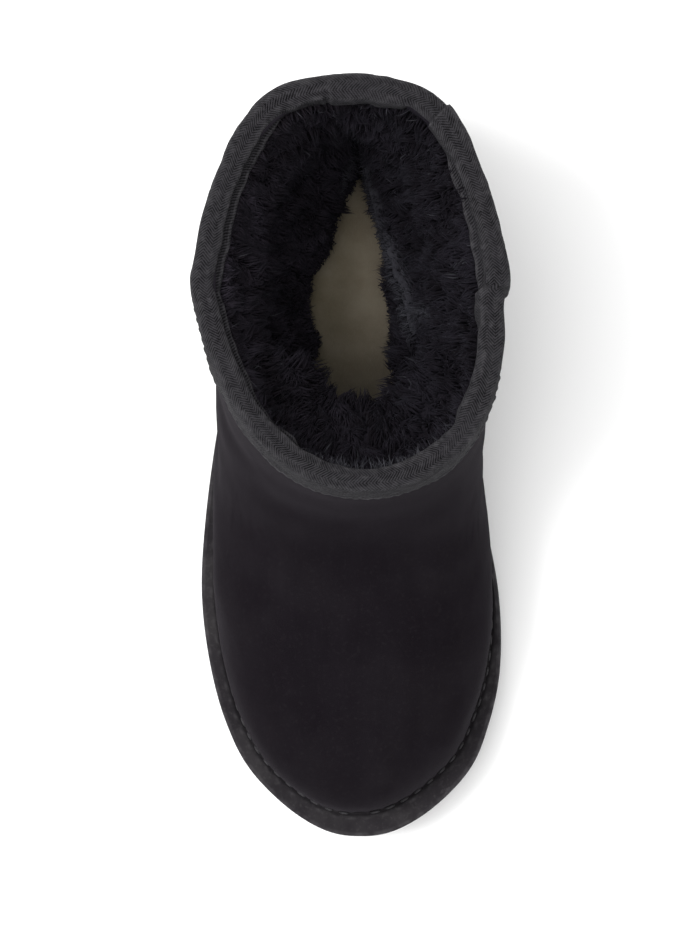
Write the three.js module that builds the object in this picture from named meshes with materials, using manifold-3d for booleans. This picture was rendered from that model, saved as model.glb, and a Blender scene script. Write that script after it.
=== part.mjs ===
// A right-foot sheepskin ankle boot, standing empty on its sole. Millimetres, +Z up.
// The toe points along -Y and the heel along +Y; +X is the medial (big toe) side.
// The origin is on the ground, below the middle of the boot.
//
// Everything is worked out from two closed outlines, the sole's and the collar's, and from a
// table of sections that carries the upper from one to the other. A "turn" is the angle round
// the boot: 0 at the toe, a quarter turn at the medial side, a half turn at the back of the heel.

import * as THREE from 'three';
import { mergeVertices } from 'three/addons/utils/BufferGeometryUtils.js';
import Module from 'manifold-3d';

// ---------- Driving dimensions ----------

const LENGTH = 268; // sole, toe to heel
const BALL_WIDTH = 108.7; // sole at its widest
const END_ROUNDING = 0.8; // power of the sine that rounds toe and heel: under 1 is blunter than an ellipse

const SOLE_HEEL = 24; // height of the seat above the ground at the heel
const SOLE_BALL = 18.5; // the same under the ball of the foot
const TOE_SPRING = 10; // rise of the tread at the toe
const HEEL_BEVEL = 3; // rise of the tread at the back of the heel
const ARCH_RISE = 3; // rise of the tread at the waist

const RIM_SIDE = 5.2; // sole left outside the upper at the sides and heel
const RIM_TOE = 10.2; // and at the toe
const RIM_SHIFT = 2; // how much narrower the rim is on the medial side, and wider on the lateral
const RIM_TOE_SWING = 1.2; // how much the wide part of the rim swings to the medial side of the toe
const WELT_THICKNESS = 3;
const WELT_ROUNDING = 1.1; // corner taken off the welt's outer edge
const INSOLE_THICKNESS = 4.5;
const INSOLE_PLAY = 0.7; // working gap round the loose insole

const COLLAR_LENGTH = 137.3; // outside of the sheepskin, front to back
const COLLAR_WIDTH = 101.4;
const COLLAR_CENTRE = 61.8; // its centre behind the boot's middle
const COLLAR_MIDDLE = 5; // its centre towards the medial side
const COLLAR_SWING = 5.2; // how far the front of the collar swings further to the medial side
const COLLAR_ROUNDING = 0.9;
const COLLAR_FRONT = 148.4; // height of the sheepskin's edge above the ground
const COLLAR_BACK = 144.8;

const FEATHER_FRONT = 25.3; // height of the feather edge at the toe
const WALL = 12.5; // suede and standing fleece together
const FEATHER_WALL = 6; // the same where the wall is pressed in at the sole
const COLLAR_WALL = 5.4; // and where the binding presses it at the top
const FLEECE_OPENS = 16; // height above the insole over which the fleece comes up to its full depth
const FLEECE_CLOSES = 30; // height over which it is gathered in again below the binding

const BINDING_TAPE = 1.3; // thickness of the folded tape
const BINDING_OUTSIDE = 10; // depth of its leg on the outside of the shaft
const BINDING_INSIDE = 7; // and on the fleece
const BINDING_EDGE = 1.2; // corner taken off where the tape folds over
const LAP_END = 146; // degrees of turn where the tape's upper end is cut off
const LAP_LENGTH = 17; // degrees of turn that the lap covers
const LAP_TAPER = 8; // degrees over which the buried end dies away
const LAP_RISE = 0.9; // how far the lap stands proud

const COUNTER_THICKNESS = 1.4;
const COUNTER_TOP = 80; // top edge above the ground, at the back
const COUNTER_REACH = 74; // how far it reaches forward of the heel, at its foot

const GROOVE_DEPTH = 3.2;
const GROOVE_WIDTH = 4.4;
const GROOVE_PITCH = 14.2;
const GROOVE_BOW = 5; // how far a groove bows back at the edges of the sole
const FOREFOOT_GROOVES = { from: -115, count: 9 };
const HEEL_GROOVES = { from: 57.5, count: 5 };

const GAP = 0.3; // between pieces that meet
const AROUND = 72; // facets round the boot

// ---------- Tables ----------

// The sole's outline. at: share of the length from the toe. middle: centre of the sole towards
// the medial side. half: half-width as a share of half the ball width, before the ends are rounded.
const SOLE_STATIONS = [
  { at: 0.0, middle: 2.9, half: 0.911 },
  { at: 0.04, middle: 2.9, half: 1.055 },
  { at: 0.09, middle: 2.6, half: 1.154 },
  { at: 0.15, middle: 1.8, half: 1.151 },
  { at: 0.22, middle: 1.0, half: 1.124 },
  { at: 0.33, middle: -1.1, half: 1.048 },
  { at: 0.43, middle: -2.9, half: 0.946 },
  { at: 0.52, middle: -3.9, half: 0.863 },
  { at: 0.6, middle: -4.3, half: 0.803 },
  { at: 0.7, middle: -2.8, half: 0.794 },
  { at: 0.8, middle: -0.5, half: 0.86 },
  { at: 0.88, middle: 1.6, half: 0.956 },
  { at: 0.95, middle: 2.5, half: 0.953 },
  { at: 1.0, middle: 2.7, half: 0.911 },
];

// The seat, which is the top of the sole. height: above the ground.
const SEAT_STATIONS = [
  { at: 0.0, height: SOLE_BALL + 6.5 },
  { at: 0.1, height: SOLE_BALL + 2.6 },
  { at: 0.22, height: SOLE_BALL + 0.3 },
  { at: 0.4, height: SOLE_BALL },
  { at: 0.6, height: SOLE_BALL + 3 },
  { at: 0.78, height: SOLE_HEEL },
  { at: 1.0, height: SOLE_HEEL + 0.5 },
];

// Where the tread leaves the ground. peak: the place, as a share of the length, where the rise is
// greatest; from there it dies away over the given reach.
const TREAD_RISES = [
  { name: 'toe spring', peak: 0.0, reach: 0.2, rise: TOE_SPRING },
  { name: 'arch', peak: 0.59, reach: 0.09, rise: ARCH_RISE },
  { name: 'heel bevel', peak: 1.0, reach: 0.07, rise: HEEL_BEVEL },
];

// The side of the sole, from the tread up. inset: in from the outline. up: share of the sole's height.
const SOLE_WALL = [
  { inset: 3.6, up: 0.0 },
  { inset: 1.7, up: 0.09 },
  { inset: 0.6, up: 0.42 },
  { inset: 0.0, up: 0.78 },
  { inset: 0.5, up: 0.94 },
  { inset: 1.6, up: 1.0 },
];

// The upper's sections from the feather edge to the collar, at: the level of each. At the front a
// section has moved in by frontIn of the way from the sole's outline to the collar's and stands at
// frontUp, in millimetres; at the sides and back it has moved in by sideIn and risen by sideUp,
// a share of the way from feather edge to collar.
const SECTIONS = [
  { name: 'feather edge', at: 0.0, frontIn: 0.0, frontUp: FEATHER_FRONT, sideIn: 0.0, sideUp: 0.0 },
  { name: 'toe wall', at: 0.12, frontIn: 0.0, frontUp: 35, sideIn: 0.0, sideUp: 0.06 },
  { name: 'toe shoulder', at: 0.22, frontIn: 0.03, frontUp: 45, sideIn: 0.02, sideUp: 0.11 },
  { name: 'toe crown', at: 0.32, frontIn: 0.115, frontUp: 54, sideIn: 0.07, sideUp: 0.155 },
  { name: 'vamp', at: 0.44, frontIn: 0.28, frontUp: 62.5, sideIn: 0.16, sideUp: 0.205 },
  { name: 'ball', at: 0.55, frontIn: 0.48, frontUp: 69.5, sideIn: 0.28, sideUp: 0.26 },
  { name: 'instep', at: 0.66, frontIn: 0.7, frontUp: 79, sideIn: 0.42, sideUp: 0.34 },
  { name: 'throat', at: 0.77, frontIn: 0.86, frontUp: 95, sideIn: 0.59, sideUp: 0.47 },
  { name: 'ankle', at: 0.88, frontIn: 0.945, frontUp: 118, sideIn: 0.79, sideUp: 0.69 },
  { name: 'collar', at: 1.0, frontIn: 1.0, frontUp: COLLAR_FRONT, sideIn: 1.0, sideUp: 1.0 },
];

// How much fuller than those straight lines the upper is, in millimetres outward, at the toe, the
// sides and the heel. lean: how far the whole section is set over to the medial side.
const FULLNESS = [
  { at: 0.0, toe: 0.0, side: 0.0, heel: 0.0, lean: 0.0 },
  { at: 0.12, toe: 1.0, side: 1.2, heel: 1.2, lean: 0.0 },
  { at: 0.22, toe: 1.6, side: 1.8, heel: 2.2, lean: 0.0 },
  { at: 0.32, toe: 2.0, side: 2.1, heel: 2.8, lean: 0.1 },
  { at: 0.44, toe: 2.1, side: 1.8, heel: 3.0, lean: -0.4 },
  { at: 0.55, toe: 2.0, side: 0.4, heel: 3.0, lean: -1.3 },
  { at: 0.66, toe: 1.5, side: -1.6, heel: 2.6, lean: -1.9 },
  { at: 0.77, toe: 0.8, side: -3.0, heel: 1.8, lean: -1.9 },
  { at: 0.88, toe: 0.0, side: -2.4, heel: 0.2, lean: -1.1 },
  { at: 1.0, toe: 0.0, side: 0.0, heel: 0.0, lean: 0.0 },
];
const FRONT_SPREAD = 1.7; // how quickly the front of a section gives way to its sides
const LEVELS = [0, 0.05, 0.11, 0.18, 0.25, 0.33, 0.41, 0.49, 0.57, 0.65, 0.72, 0.79, 0.85, 0.9, 0.935, 0.965, 1];

// The folded tape's section, from the foot of its inner leg over the edge to the foot of its outer
// leg and back underneath. out: from the sheepskin's outer face. up: from its edge. lapOut and
// lapUp: which way the lap's second layer stands proud there.
const INNER_FACE = -COLLAR_WALL - GAP;
const BINDING_SECTION = [
  { out: INNER_FACE, up: -BINDING_INSIDE, lapOut: 0, lapUp: 0 },
  { out: INNER_FACE - BINDING_TAPE, up: -BINDING_INSIDE, lapOut: -1, lapUp: 0 },
  { out: INNER_FACE - BINDING_TAPE, up: -BINDING_EDGE, lapOut: -1, lapUp: 0 },
  { out: INNER_FACE + BINDING_EDGE, up: GAP + BINDING_TAPE, lapOut: 0, lapUp: 1 },
  { out: -BINDING_EDGE + GAP, up: GAP + BINDING_TAPE, lapOut: 0, lapUp: 1 },
  { out: GAP + BINDING_TAPE, up: -BINDING_EDGE, lapOut: 1, lapUp: 0 },
  { out: GAP + BINDING_TAPE, up: -BINDING_OUTSIDE, lapOut: 1, lapUp: 0 },
  { out: GAP, up: -BINDING_OUTSIDE, lapOut: 0, lapUp: 0 },
  { out: GAP, up: GAP, lapOut: 0, lapUp: 0 },
  { out: INNER_FACE, up: GAP, lapOut: 0, lapUp: 0 },
];

// ---------- Curves ----------

const clamp01 = (x) => Math.min(1, Math.max(0, x));
const smooth = (x) => clamp01(x) ** 2 * (3 - 2 * clamp01(x));
const mix = (a, b, share) => a + (b - a) * share;
const degrees = (angle) => (angle * Math.PI) / 180;

// A column of a table at any place between its rows: a cubic through them.
function along(table, column, place) {
  const last = table.length - 1;
  let i = 0;
  while (i < last - 1 && place > table[i + 1].at) i += 1;
  const slope = (row) => {
    const before = table[Math.max(0, row - 1)];
    const after = table[Math.min(last, row + 1)];
    return (after[column] - before[column]) / (after.at - before.at);
  };
  const width = table[i + 1].at - table[i].at;
  const t = clamp01((place - table[i].at) / width);
  const square = t * t;
  const cube = square * t;
  return (
    (2 * cube - 3 * square + 1) * table[i][column] +
    (cube - 2 * square + t) * width * slope(i) +
    (3 * square - 2 * cube) * table[i + 1][column] +
    (cube - square) * width * slope(i + 1)
  );
}

// The sine of a turn raised to a power, with its sign kept.
const roundedSine = (turn, power) => Math.sign(Math.sin(turn)) * Math.abs(Math.sin(turn)) ** power;

const lengthShare = (y) => clamp01(y / LENGTH + 0.5);

function soleEdge(turn) {
  const y = (-LENGTH / 2) * Math.cos(turn);
  const half = (BALL_WIDTH / 2) * along(SOLE_STATIONS, 'half', lengthShare(y));
  const x = along(SOLE_STATIONS, 'middle', lengthShare(y)) + half * roundedSine(turn, END_ROUNDING);
  return new THREE.Vector2(x, y);
}

// The outward direction of the sole's outline.
function soleOutward(turn) {
  const step = 0.02;
  const forward = soleEdge(turn + step).sub(soleEdge(turn - step)).normalize();
  return new THREE.Vector2(forward.y, -forward.x);
}

const soleInset = (turn, inset) => soleEdge(turn).addScaledVector(soleOutward(turn), -inset);

// How strongly a turn belongs to the front of the boot: 1 at the toe, 0 from the sides back.
const frontShare = (turn) => Math.max(0, Math.cos(turn)) ** FRONT_SPREAD;

// The width of sole left outside the upper.
function rimWidth(turn) {
  const front = frontShare(turn);
  const swing = RIM_TOE_SWING * Math.sin(2 * turn) * front;
  return mix(RIM_SIDE - RIM_SHIFT * Math.sin(turn), RIM_TOE, front) + swing;
}

const seatHeight = (y) => along(SEAT_STATIONS, 'height', lengthShare(y));

function treadHeight(y) {
  const at = lengthShare(y);
  return TREAD_RISES.reduce((height, { peak, reach, rise }) => {
    const near = clamp01(1 - Math.abs(at - peak) / reach);
    return height + rise * (peak > 0 && peak < 1 ? smooth(near) : near ** 2);
  }, 0);
}

function collarEdge(turn) {
  const forward = Math.max(0, Math.cos(turn));
  const middle = COLLAR_MIDDLE + COLLAR_SWING * smooth(forward / COLLAR_ROUNDING);
  const x = middle + (COLLAR_WIDTH / 2) * roundedSine(turn, COLLAR_ROUNDING);
  const y = COLLAR_CENTRE - (COLLAR_LENGTH / 2) * Math.cos(turn);
  return new THREE.Vector3(x, y, mix(COLLAR_BACK, COLLAR_FRONT, (1 + Math.cos(turn)) / 2));
}

// ---------- The upper's form, which is the form of the last with its wall ----------

// How far a level stands out from the straight way between sole and collar.
function fullness(turn, level) {
  const toe = Math.max(0, Math.cos(turn)) ** 2;
  const heel = smooth((0.2 - Math.cos(turn)) / 0.9);
  const side = 1 - toe - heel;
  return (
    toe * along(FULLNESS, 'toe', level) +
    side * along(FULLNESS, 'side', level) +
    heel * along(FULLNESS, 'heel', level)
  );
}

// A point on the outside of the upper. level: 0 at the feather edge, 1 at the collar.
function upperPoint(turn, level) {
  const front = frontShare(turn);
  const foot = soleInset(turn, rimWidth(turn));
  const footHeight = seatHeight(foot.y) + GAP;
  const collar = collarEdge(turn);
  const inward = mix(along(SECTIONS, 'sideIn', level), along(SECTIONS, 'frontIn', level), front);
  const frontRise = along(SECTIONS, 'frontUp', level) - FEATHER_FRONT;
  const up = mix(along(SECTIONS, 'sideUp', level), frontRise / (COLLAR_FRONT - FEATHER_FRONT), front);
  const outward = soleOutward(turn).multiplyScalar(fullness(turn, level));
  return new THREE.Vector3(
    mix(foot.x, collar.x, inward) + outward.x + along(FULLNESS, 'lean', level),
    mix(foot.y, collar.y, inward) + outward.y,
    mix(footHeight, collar.z, up),
  );
}

// The outward normal, laid level towards the feather edge and the collar so that both end flat.
function upperNormal(turn, level) {
  const step = 0.01;
  const round = upperPoint(turn + step, level).sub(upperPoint(turn - step, level));
  const rise = upperPoint(turn, Math.min(1, level + step)).sub(upperPoint(turn, Math.max(0, level - step)));
  const normal = round.cross(rise).normalize();
  normal.z *= Math.min(smooth(level / 0.08), smooth((1 - level) / 0.12));
  return normal.normalize();
}

// The level at which the outside of the upper stands at a height.
function levelAt(turn, height) {
  let low = 0;
  let high = 1;
  for (let i = 0; i < 30; i += 1) {
    const middle = (low + high) / 2;
    if (upperPoint(turn, middle).z < height) low = middle;
    else high = middle;
  }
  return high;
}

// Depth of the wall at a level: pressed in at the sole and under the binding.
function wallDepth(turn, level) {
  const outside = upperPoint(turn, level);
  const aboveSeat = outside.z - seatHeight(outside.y) - INSOLE_THICKNESS;
  const belowBinding = collarEdge(turn).z - BINDING_OUTSIDE - outside.z;
  const opened = mix(FEATHER_WALL, WALL, smooth(aboveSeat / FLEECE_OPENS));
  return mix(COLLAR_WALL, opened, smooth(belowBinding / FLEECE_CLOSES));
}

// The outside of the upper at a level, moved out by proud.
const outside = (turn, level, proud) =>
  upperPoint(turn, level).addScaledVector(upperNormal(turn, level), proud);

// The face of the fleece at a level.
function inside(turn, level) {
  const point = outside(turn, level, -wallDepth(turn, level));
  if (level === 0) point.z = seatHeight(point.y) + GAP;
  return point;
}

const TURNS = Array.from({ length: AROUND }, (_, i) => (2 * Math.PI * i) / AROUND);
const ring = (pointAt) => TURNS.map(pointAt);

// ---------- Solids ----------

const wasm = await Module();
wasm.setup();

// Joins each ring of points to the next. A hoop's last ring joins its first; otherwise the first
// and last rings are closed by strips that run straight across, from one side to the other.
function ringGeometry(rings, hoop) {
  const count = rings[0].length;
  const last = rings.length - 1;
  const index = [];
  const at = (r, i) => (r % rings.length) * count + (i % count);
  for (let r = 0; r < rings.length - (hoop ? 0 : 1); r += 1) {
    for (let i = 0; i < count; i += 1) {
      index.push(at(r, i), at(r, i + 1), at(r + 1, i));
      index.push(at(r + 1, i), at(r, i + 1), at(r + 1, i + 1));
    }
  }
  const triangle = (r, corners) => {
    if (new Set(corners).size < 3) return;
    index.push(...(r === last ? corners : corners.reverse()));
  };
  for (const r of hoop ? [] : [0, last]) {
    for (let i = 0; i < count / 2; i += 1) {
      const [near, far] = [count - i, count - i - 1];
      triangle(r, [at(r, i), at(r, i + 1), at(r, far)]);
      triangle(r, [at(r, i), at(r, far), at(r, near)]);
    }
  }
  const geometry = new THREE.BufferGeometry().setFromPoints(rings.flat());
  geometry.setIndex(index);
  return geometry;
}

function solidOf(geometry) {
  const bare = geometry.clone();
  bare.deleteAttribute('normal');
  bare.deleteAttribute('uv');
  const { attributes, index } = mergeVertices(bare, 1e-4);
  return new wasm.Manifold(
    new wasm.Mesh({
      numProp: 3,
      vertProperties: new Float32Array(attributes.position.array),
      triVerts: new Uint32Array(index.array),
    }),
  );
}

function geometryOf(solid) {
  const { vertProperties, triVerts } = solid.getMesh();
  const geometry = new THREE.BufferGeometry();
  geometry.setAttribute('position', new THREE.BufferAttribute(vertProperties, 3));
  geometry.setIndex(new THREE.BufferAttribute(triVerts, 1));
  geometry.computeVertexNormals();
  return geometry;
}

// A side-view outline (y back, z up) pushed right through the boot from side to side.
function sideSolid(shape) {
  const through = 2 * BALL_WIDTH;
  const geometry = new THREE.ExtrudeGeometry(shape, { depth: through, bevelEnabled: false, curveSegments: 16 });
  geometry.applyMatrix4(
    new THREE.Matrix4().makeBasis(
      new THREE.Vector3(0, 1, 0),
      new THREE.Vector3(0, 0, 1),
      new THREE.Vector3(1, 0, 0),
    ),
  );
  geometry.translate(-BALL_WIDTH, 0, 0);
  return solidOf(geometry);
}

// ---------- Pieces ----------

// One bowed groove across the tread.
function groove(y) {
  const halfLength = 0.62 * BALL_WIDTH;
  const steps = 10;
  const centre = Array.from({ length: steps + 1 }, (_, i) => mix(-halfLength, halfLength, i / steps));
  const bowed = (x, side) => new THREE.Vector2(x, y + GROOVE_BOW * (x / halfLength) ** 2 + (side * GROOVE_WIDTH) / 2);
  const shape = new THREE.Shape([
    ...centre.map((x) => bowed(x, -1)),
    ...centre.reverse().map((x) => bowed(x, 1)),
  ]);
  const below = 2;
  const depth = below + treadHeight(y) + GROOVE_DEPTH;
  return new THREE.ExtrudeGeometry(shape, { depth, bevelEnabled: false }).translate(0, 0, -below);
}

function outsole() {
  const rings = SOLE_WALL.map(({ inset, up }) =>
    ring((turn) => {
      const { x, y } = soleInset(turn, inset);
      return new THREE.Vector3(x, y, mix(treadHeight(y), seatHeight(y), up));
    }),
  );
  let solid = solidOf(ringGeometry(rings, false));
  for (const { from, count } of [FOREFOOT_GROOVES, HEEL_GROOVES]) {
    for (let i = 0; i < count; i += 1) solid = solid.subtract(solidOf(groove(from + i * GROOVE_PITCH)));
  }
  return geometryOf(solid);
}

// A strip that lies on the seat, outside the upper. Its inner face follows the upper.
function welt() {
  const onSeat = (turn, inset, up) => {
    const { x, y } = soleInset(turn, inset);
    return new THREE.Vector3(x, y, seatHeight(y) + GAP + up);
  };
  const againstUpper = (turn, up) => {
    const foot = upperPoint(turn, 0);
    const point = upperPoint(turn, levelAt(turn, foot.z + up));
    const outward = soleOutward(turn);
    return point.add(new THREE.Vector3(outward.x, outward.y, 0).multiplyScalar(GAP));
  };
  return ringGeometry(
    [
      ring((turn) => onSeat(turn, WELT_ROUNDING, 0)),
      ring((turn) => onSeat(turn, 0.2, 0.35 * WELT_THICKNESS)),
      ring((turn) => onSeat(turn, 0.2, 0.65 * WELT_THICKNESS)),
      ring((turn) => onSeat(turn, WELT_ROUNDING, WELT_THICKNESS)),
      ring((turn) => againstUpper(turn, WELT_THICKNESS)),
      ring((turn) => againstUpper(turn, WELT_THICKNESS / 2)),
      ring((turn) => onSeat(turn, rimWidth(turn) - GAP, 0)),
    ],
    true,
  );
}

function insole() {
  const edge = 0.8;
  const sheet = (inset, up) =>
    ring((turn) => {
      const { x, y } = soleInset(turn, rimWidth(turn) + FEATHER_WALL + INSOLE_PLAY + inset);
      return new THREE.Vector3(x, y, seatHeight(y) + GAP + up);
    });
  return ringGeometry([sheet(0, 0), sheet(0, INSOLE_THICKNESS - edge), sheet(edge, INSOLE_THICKNESS)], false);
}

// One hollow wall: up the outside, over the edge, down the fleece and back under the feather edge.
function upper() {
  const outer = LEVELS.map((level) => ring((turn) => outside(turn, level, 0)));
  const inner = LEVELS.map((level) => ring((turn) => inside(turn, level))).reverse();
  return ringGeometry([...outer, ...inner], true);
}

// The upper's outside as a filled form, moved out by proud, to cut overlays from.
function upperForm(proud) {
  return solidOf(ringGeometry(LEVELS.map((level) => ring((turn) => outside(turn, level, proud))), false));
}

// A suede overlay between two forms of the upper, cut to its outline as seen from the side.
function heelCounter() {
  const heel = LENGTH / 2;
  const clearOfWelt = seatHeight(heel) + WELT_THICKNESS + 3 * GAP;
  const shape = new THREE.Shape();
  shape.moveTo(heel + RIM_SIDE, clearOfWelt);
  shape.lineTo(heel + RIM_SIDE, COUNTER_TOP);
  shape.lineTo(heel, COUNTER_TOP);
  shape.bezierCurveTo(
    heel - 0.42 * COUNTER_REACH,
    COUNTER_TOP,
    heel - 0.82 * COUNTER_REACH,
    0.8 * COUNTER_TOP,
    heel - COUNTER_REACH,
    clearOfWelt,
  );
  const shell = upperForm(GAP + COUNTER_THICKNESS).subtract(upperForm(GAP));
  return geometryOf(shell.intersect(sideSolid(shape)));
}

// How much of the lap's second layer there is at a turn: cut off square at one end, dying away
// over the buried end at the other.
function lapShare(turn) {
  const past = (degrees(LAP_END) - turn) / degrees(1);
  if (past <= 0 || past >= LAP_LENGTH) return 0;
  return Math.min(1, past / 0.5) * smooth((LAP_LENGTH - past) / LAP_TAPER);
}

// Tape folded over the sheepskin's edge all the way round.
function collarBinding() {
  const cut = degrees(LAP_END);
  const stops = [...TURNS, cut, cut - degrees(0.5)].sort((a, b) => a - b);
  const hoop = stops.map((turn) => {
    const edge = collarEdge(turn);
    return BINDING_SECTION.map(({ out, up, lapOut, lapUp }) => {
      const proud = LAP_RISE * lapShare(turn);
      const height = up + lapUp * proud;
      const point = outside(turn, up < 0 ? levelAt(turn, edge.z + height) : 1, out + lapOut * proud);
      if (up > 0) point.z = edge.z + height;
      return point;
    });
  });
  return ringGeometry(hoop, true);
}

// ---------- Finishes and assembly ----------

const finish = (color, roughness) => new THREE.MeshStandardMaterial({ color, roughness, metalness: 0 });

const PIECES = [
  { name: 'outsole', geometry: outsole(), material: finish(0x1b1b1d, 0.72) },
  { name: 'welt', geometry: welt(), material: finish(0x242427, 0.7) },
  { name: 'insole', geometry: insole(), material: finish(0xb9ad97, 0.95) },
  { name: 'upper', geometry: upper(), material: finish(0x17161b, 0.97) },
  { name: 'heel_counter', geometry: heelCounter(), material: finish(0x18171c, 0.95) },
  { name: 'collar_binding', geometry: collarBinding(), material: finish(0x2a2a2e, 0.9) },
];

const boot = new THREE.Group();
for (const { name, geometry, material } of PIECES) {
  geometry.computeVertexNormals();
  const mesh = new THREE.Mesh(geometry, material);
  mesh.name = name;
  boot.add(mesh);
}

// The collar overhangs the medial side a little, so the boot moves over to stand with the middle of
// its box above the origin.
boot.position.x = -new THREE.Box3().setFromObject(boot).getCenter(new THREE.Vector3()).x;

export default boot;
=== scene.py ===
import math

import bpy
import numpy as np
from mathutils import Matrix, Vector, kdtree


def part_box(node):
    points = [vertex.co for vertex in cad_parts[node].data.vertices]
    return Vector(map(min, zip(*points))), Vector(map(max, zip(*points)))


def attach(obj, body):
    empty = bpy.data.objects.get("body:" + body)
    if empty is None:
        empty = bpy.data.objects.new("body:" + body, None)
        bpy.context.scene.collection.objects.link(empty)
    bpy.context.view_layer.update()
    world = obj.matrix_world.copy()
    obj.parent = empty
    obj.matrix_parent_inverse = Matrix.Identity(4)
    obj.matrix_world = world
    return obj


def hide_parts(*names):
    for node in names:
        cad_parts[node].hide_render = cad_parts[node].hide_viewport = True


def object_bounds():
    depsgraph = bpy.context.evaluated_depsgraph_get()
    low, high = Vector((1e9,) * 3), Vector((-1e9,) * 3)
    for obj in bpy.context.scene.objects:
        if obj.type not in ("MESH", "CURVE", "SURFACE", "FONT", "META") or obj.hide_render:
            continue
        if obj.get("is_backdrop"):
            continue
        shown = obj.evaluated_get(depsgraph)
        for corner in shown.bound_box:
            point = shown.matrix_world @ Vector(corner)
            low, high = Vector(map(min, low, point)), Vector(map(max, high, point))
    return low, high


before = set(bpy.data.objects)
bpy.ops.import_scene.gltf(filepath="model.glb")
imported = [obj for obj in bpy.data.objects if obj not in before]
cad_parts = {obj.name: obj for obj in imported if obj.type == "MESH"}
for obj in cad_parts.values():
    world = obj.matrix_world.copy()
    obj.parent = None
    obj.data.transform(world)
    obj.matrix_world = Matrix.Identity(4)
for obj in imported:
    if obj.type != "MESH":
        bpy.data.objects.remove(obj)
cad_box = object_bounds()


# ----------------------------------------
# Outsole. One block of black foam rubber with a rounded, finely pebbled wall, a moulded line under
# its top edge and bowed grooves across the tread. It comes whole out of its mould.
# Sizes here are millimetres. A turn is an angle round the boot: 0 at the toe, a quarter turn at
# the big-toe side, half a turn at the back of the heel.
# ----------------------------------------

MM = 0.001
GAP = 0.3  # between pieces that meet

sole_low, sole_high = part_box("outsole")
LENGTH = (sole_high.y - sole_low.y) / MM
BALL_WIDTH = 108.7
END_ROUNDING = 0.8
SOLE_AROUND = 480
GROOVE_DEPTH, GROOVE_WIDTH, GROOVE_PITCH, GROOVE_BOW = 3.2, 4.4, 14.2, 5.0
FOREFOOT_GROOVES = [-115 + GROOVE_PITCH * i for i in range(9)]
HEEL_GROOVES = [57.5 + GROOVE_PITCH * i for i in range(5)]


def columns(names, rows):
    """A table with named columns and a row for each station."""
    return dict(zip(names.split(), np.array(rows, float).T))


# at: share of the length from the toe. middle: centre of the sole towards the big-toe side.
# half: half-width, as a share of half the ball width, before toe and heel are rounded.
SOLE = columns("at middle half", [
    (0.00, 2.9, 0.911),
    (0.04, 2.9, 1.055),
    (0.09, 2.6, 1.154),
    (0.15, 1.8, 1.151),
    (0.22, 1.0, 1.124),
    (0.33, -1.1, 1.048),
    (0.43, -2.9, 0.946),
    (0.52, -3.9, 0.863),
    (0.60, -4.3, 0.803),
    (0.70, -2.8, 0.794),
    (0.80, -0.5, 0.860),
    (0.88, 1.6, 0.956),
    (0.95, 2.5, 0.953),
    (1.00, 2.7, 0.911),
])
SEAT = columns("at height", [
    (0.00, 25.0),
    (0.10, 21.1),
    (0.22, 18.8),
    (0.40, 18.5),
    (0.60, 21.5),
    (0.78, 24.0),
    (1.00, 24.5),
])
# The wall, at each share of its height: how far in it stands from the outline.
SOLE_WALL = columns("at inset", [(0.0, 3.6), (0.09, 1.7), (0.42, 0.6), (0.78, 0.0), (0.94, 0.5), (1.0, 1.6)])


def mix(a, b, share):
    return a + (b - a) * share


def smooth(x):
    x = np.clip(x, 0, 1)
    return x * x * (3 - 2 * x)


def bell(x, width):
    return np.exp(-((x / width) ** 2))


def along(table, column, place):
    """A column of a table at any place between its rows: a smooth curve through them."""
    at, value = table["at"], table[column]
    last = len(at) - 1
    rows = np.arange(last + 1)
    before, after = np.maximum(rows - 1, 0), np.minimum(rows + 1, last)
    slope = (value[after] - value[before]) / (at[after] - at[before])
    i = np.clip(np.searchsorted(at, place, side="right") - 1, 0, last - 1)
    width = at[i + 1] - at[i]
    t = np.clip((place - at[i]) / width, 0, 1)
    square, cube = t**2, t**3
    near = (2 * cube - 3 * square + 1) * value[i] + (cube - 2 * square + t) * width * slope[i]
    far = (3 * square - 2 * cube) * value[i + 1] + (cube - square) * width * slope[i + 1]
    return near + far


def length_share(y):
    return np.clip(y / LENGTH + 0.5, 0, 1)


def rounded_sine(turn, power):
    return np.sign(np.sin(turn)) * np.abs(np.sin(turn)) ** power


def sole_edge(turn):
    y = -LENGTH / 2 * np.cos(turn)
    half = BALL_WIDTH / 2 * along(SOLE, "half", length_share(y))
    return np.stack([along(SOLE, "middle", length_share(y)) + half * rounded_sine(turn, END_ROUNDING), y], -1)


def sole_outward(turn):
    step = sole_edge(turn + 0.02) - sole_edge(turn - 0.02)
    step /= np.linalg.norm(step, axis=-1, keepdims=True)
    return np.stack([step[..., 1], -step[..., 0]], -1)


def sole_inset(turn, inset):
    return sole_edge(turn) - sole_outward(turn) * np.asarray(inset)[..., None]


def seat_height(y):
    return along(SEAT, "height", length_share(y))


def tread_height(y):
    at = length_share(y)
    toe_spring = 10 * np.clip(1 - at / 0.2, 0, 1) ** 2
    arch = 3 * smooth(1 - np.abs(at - 0.59) / 0.09)
    heel_bevel = 3 * np.clip(1 - (1 - at) / 0.07, 0, 1) ** 2
    return toe_spring + arch + heel_bevel


def at_height(flat, z):
    return np.concatenate([flat, np.broadcast_to(z, flat.shape[:-1])[..., None]], -1)


def turns_of(count):
    return np.linspace(0, 2 * math.pi, count, endpoint=False)


# How far the whole boot was moved sideways to stand over its origin.
SIDE_SHIFT = sole_low.x / MM - sole_edge(turns_of(SOLE_AROUND))[:, 0].min()


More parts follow.
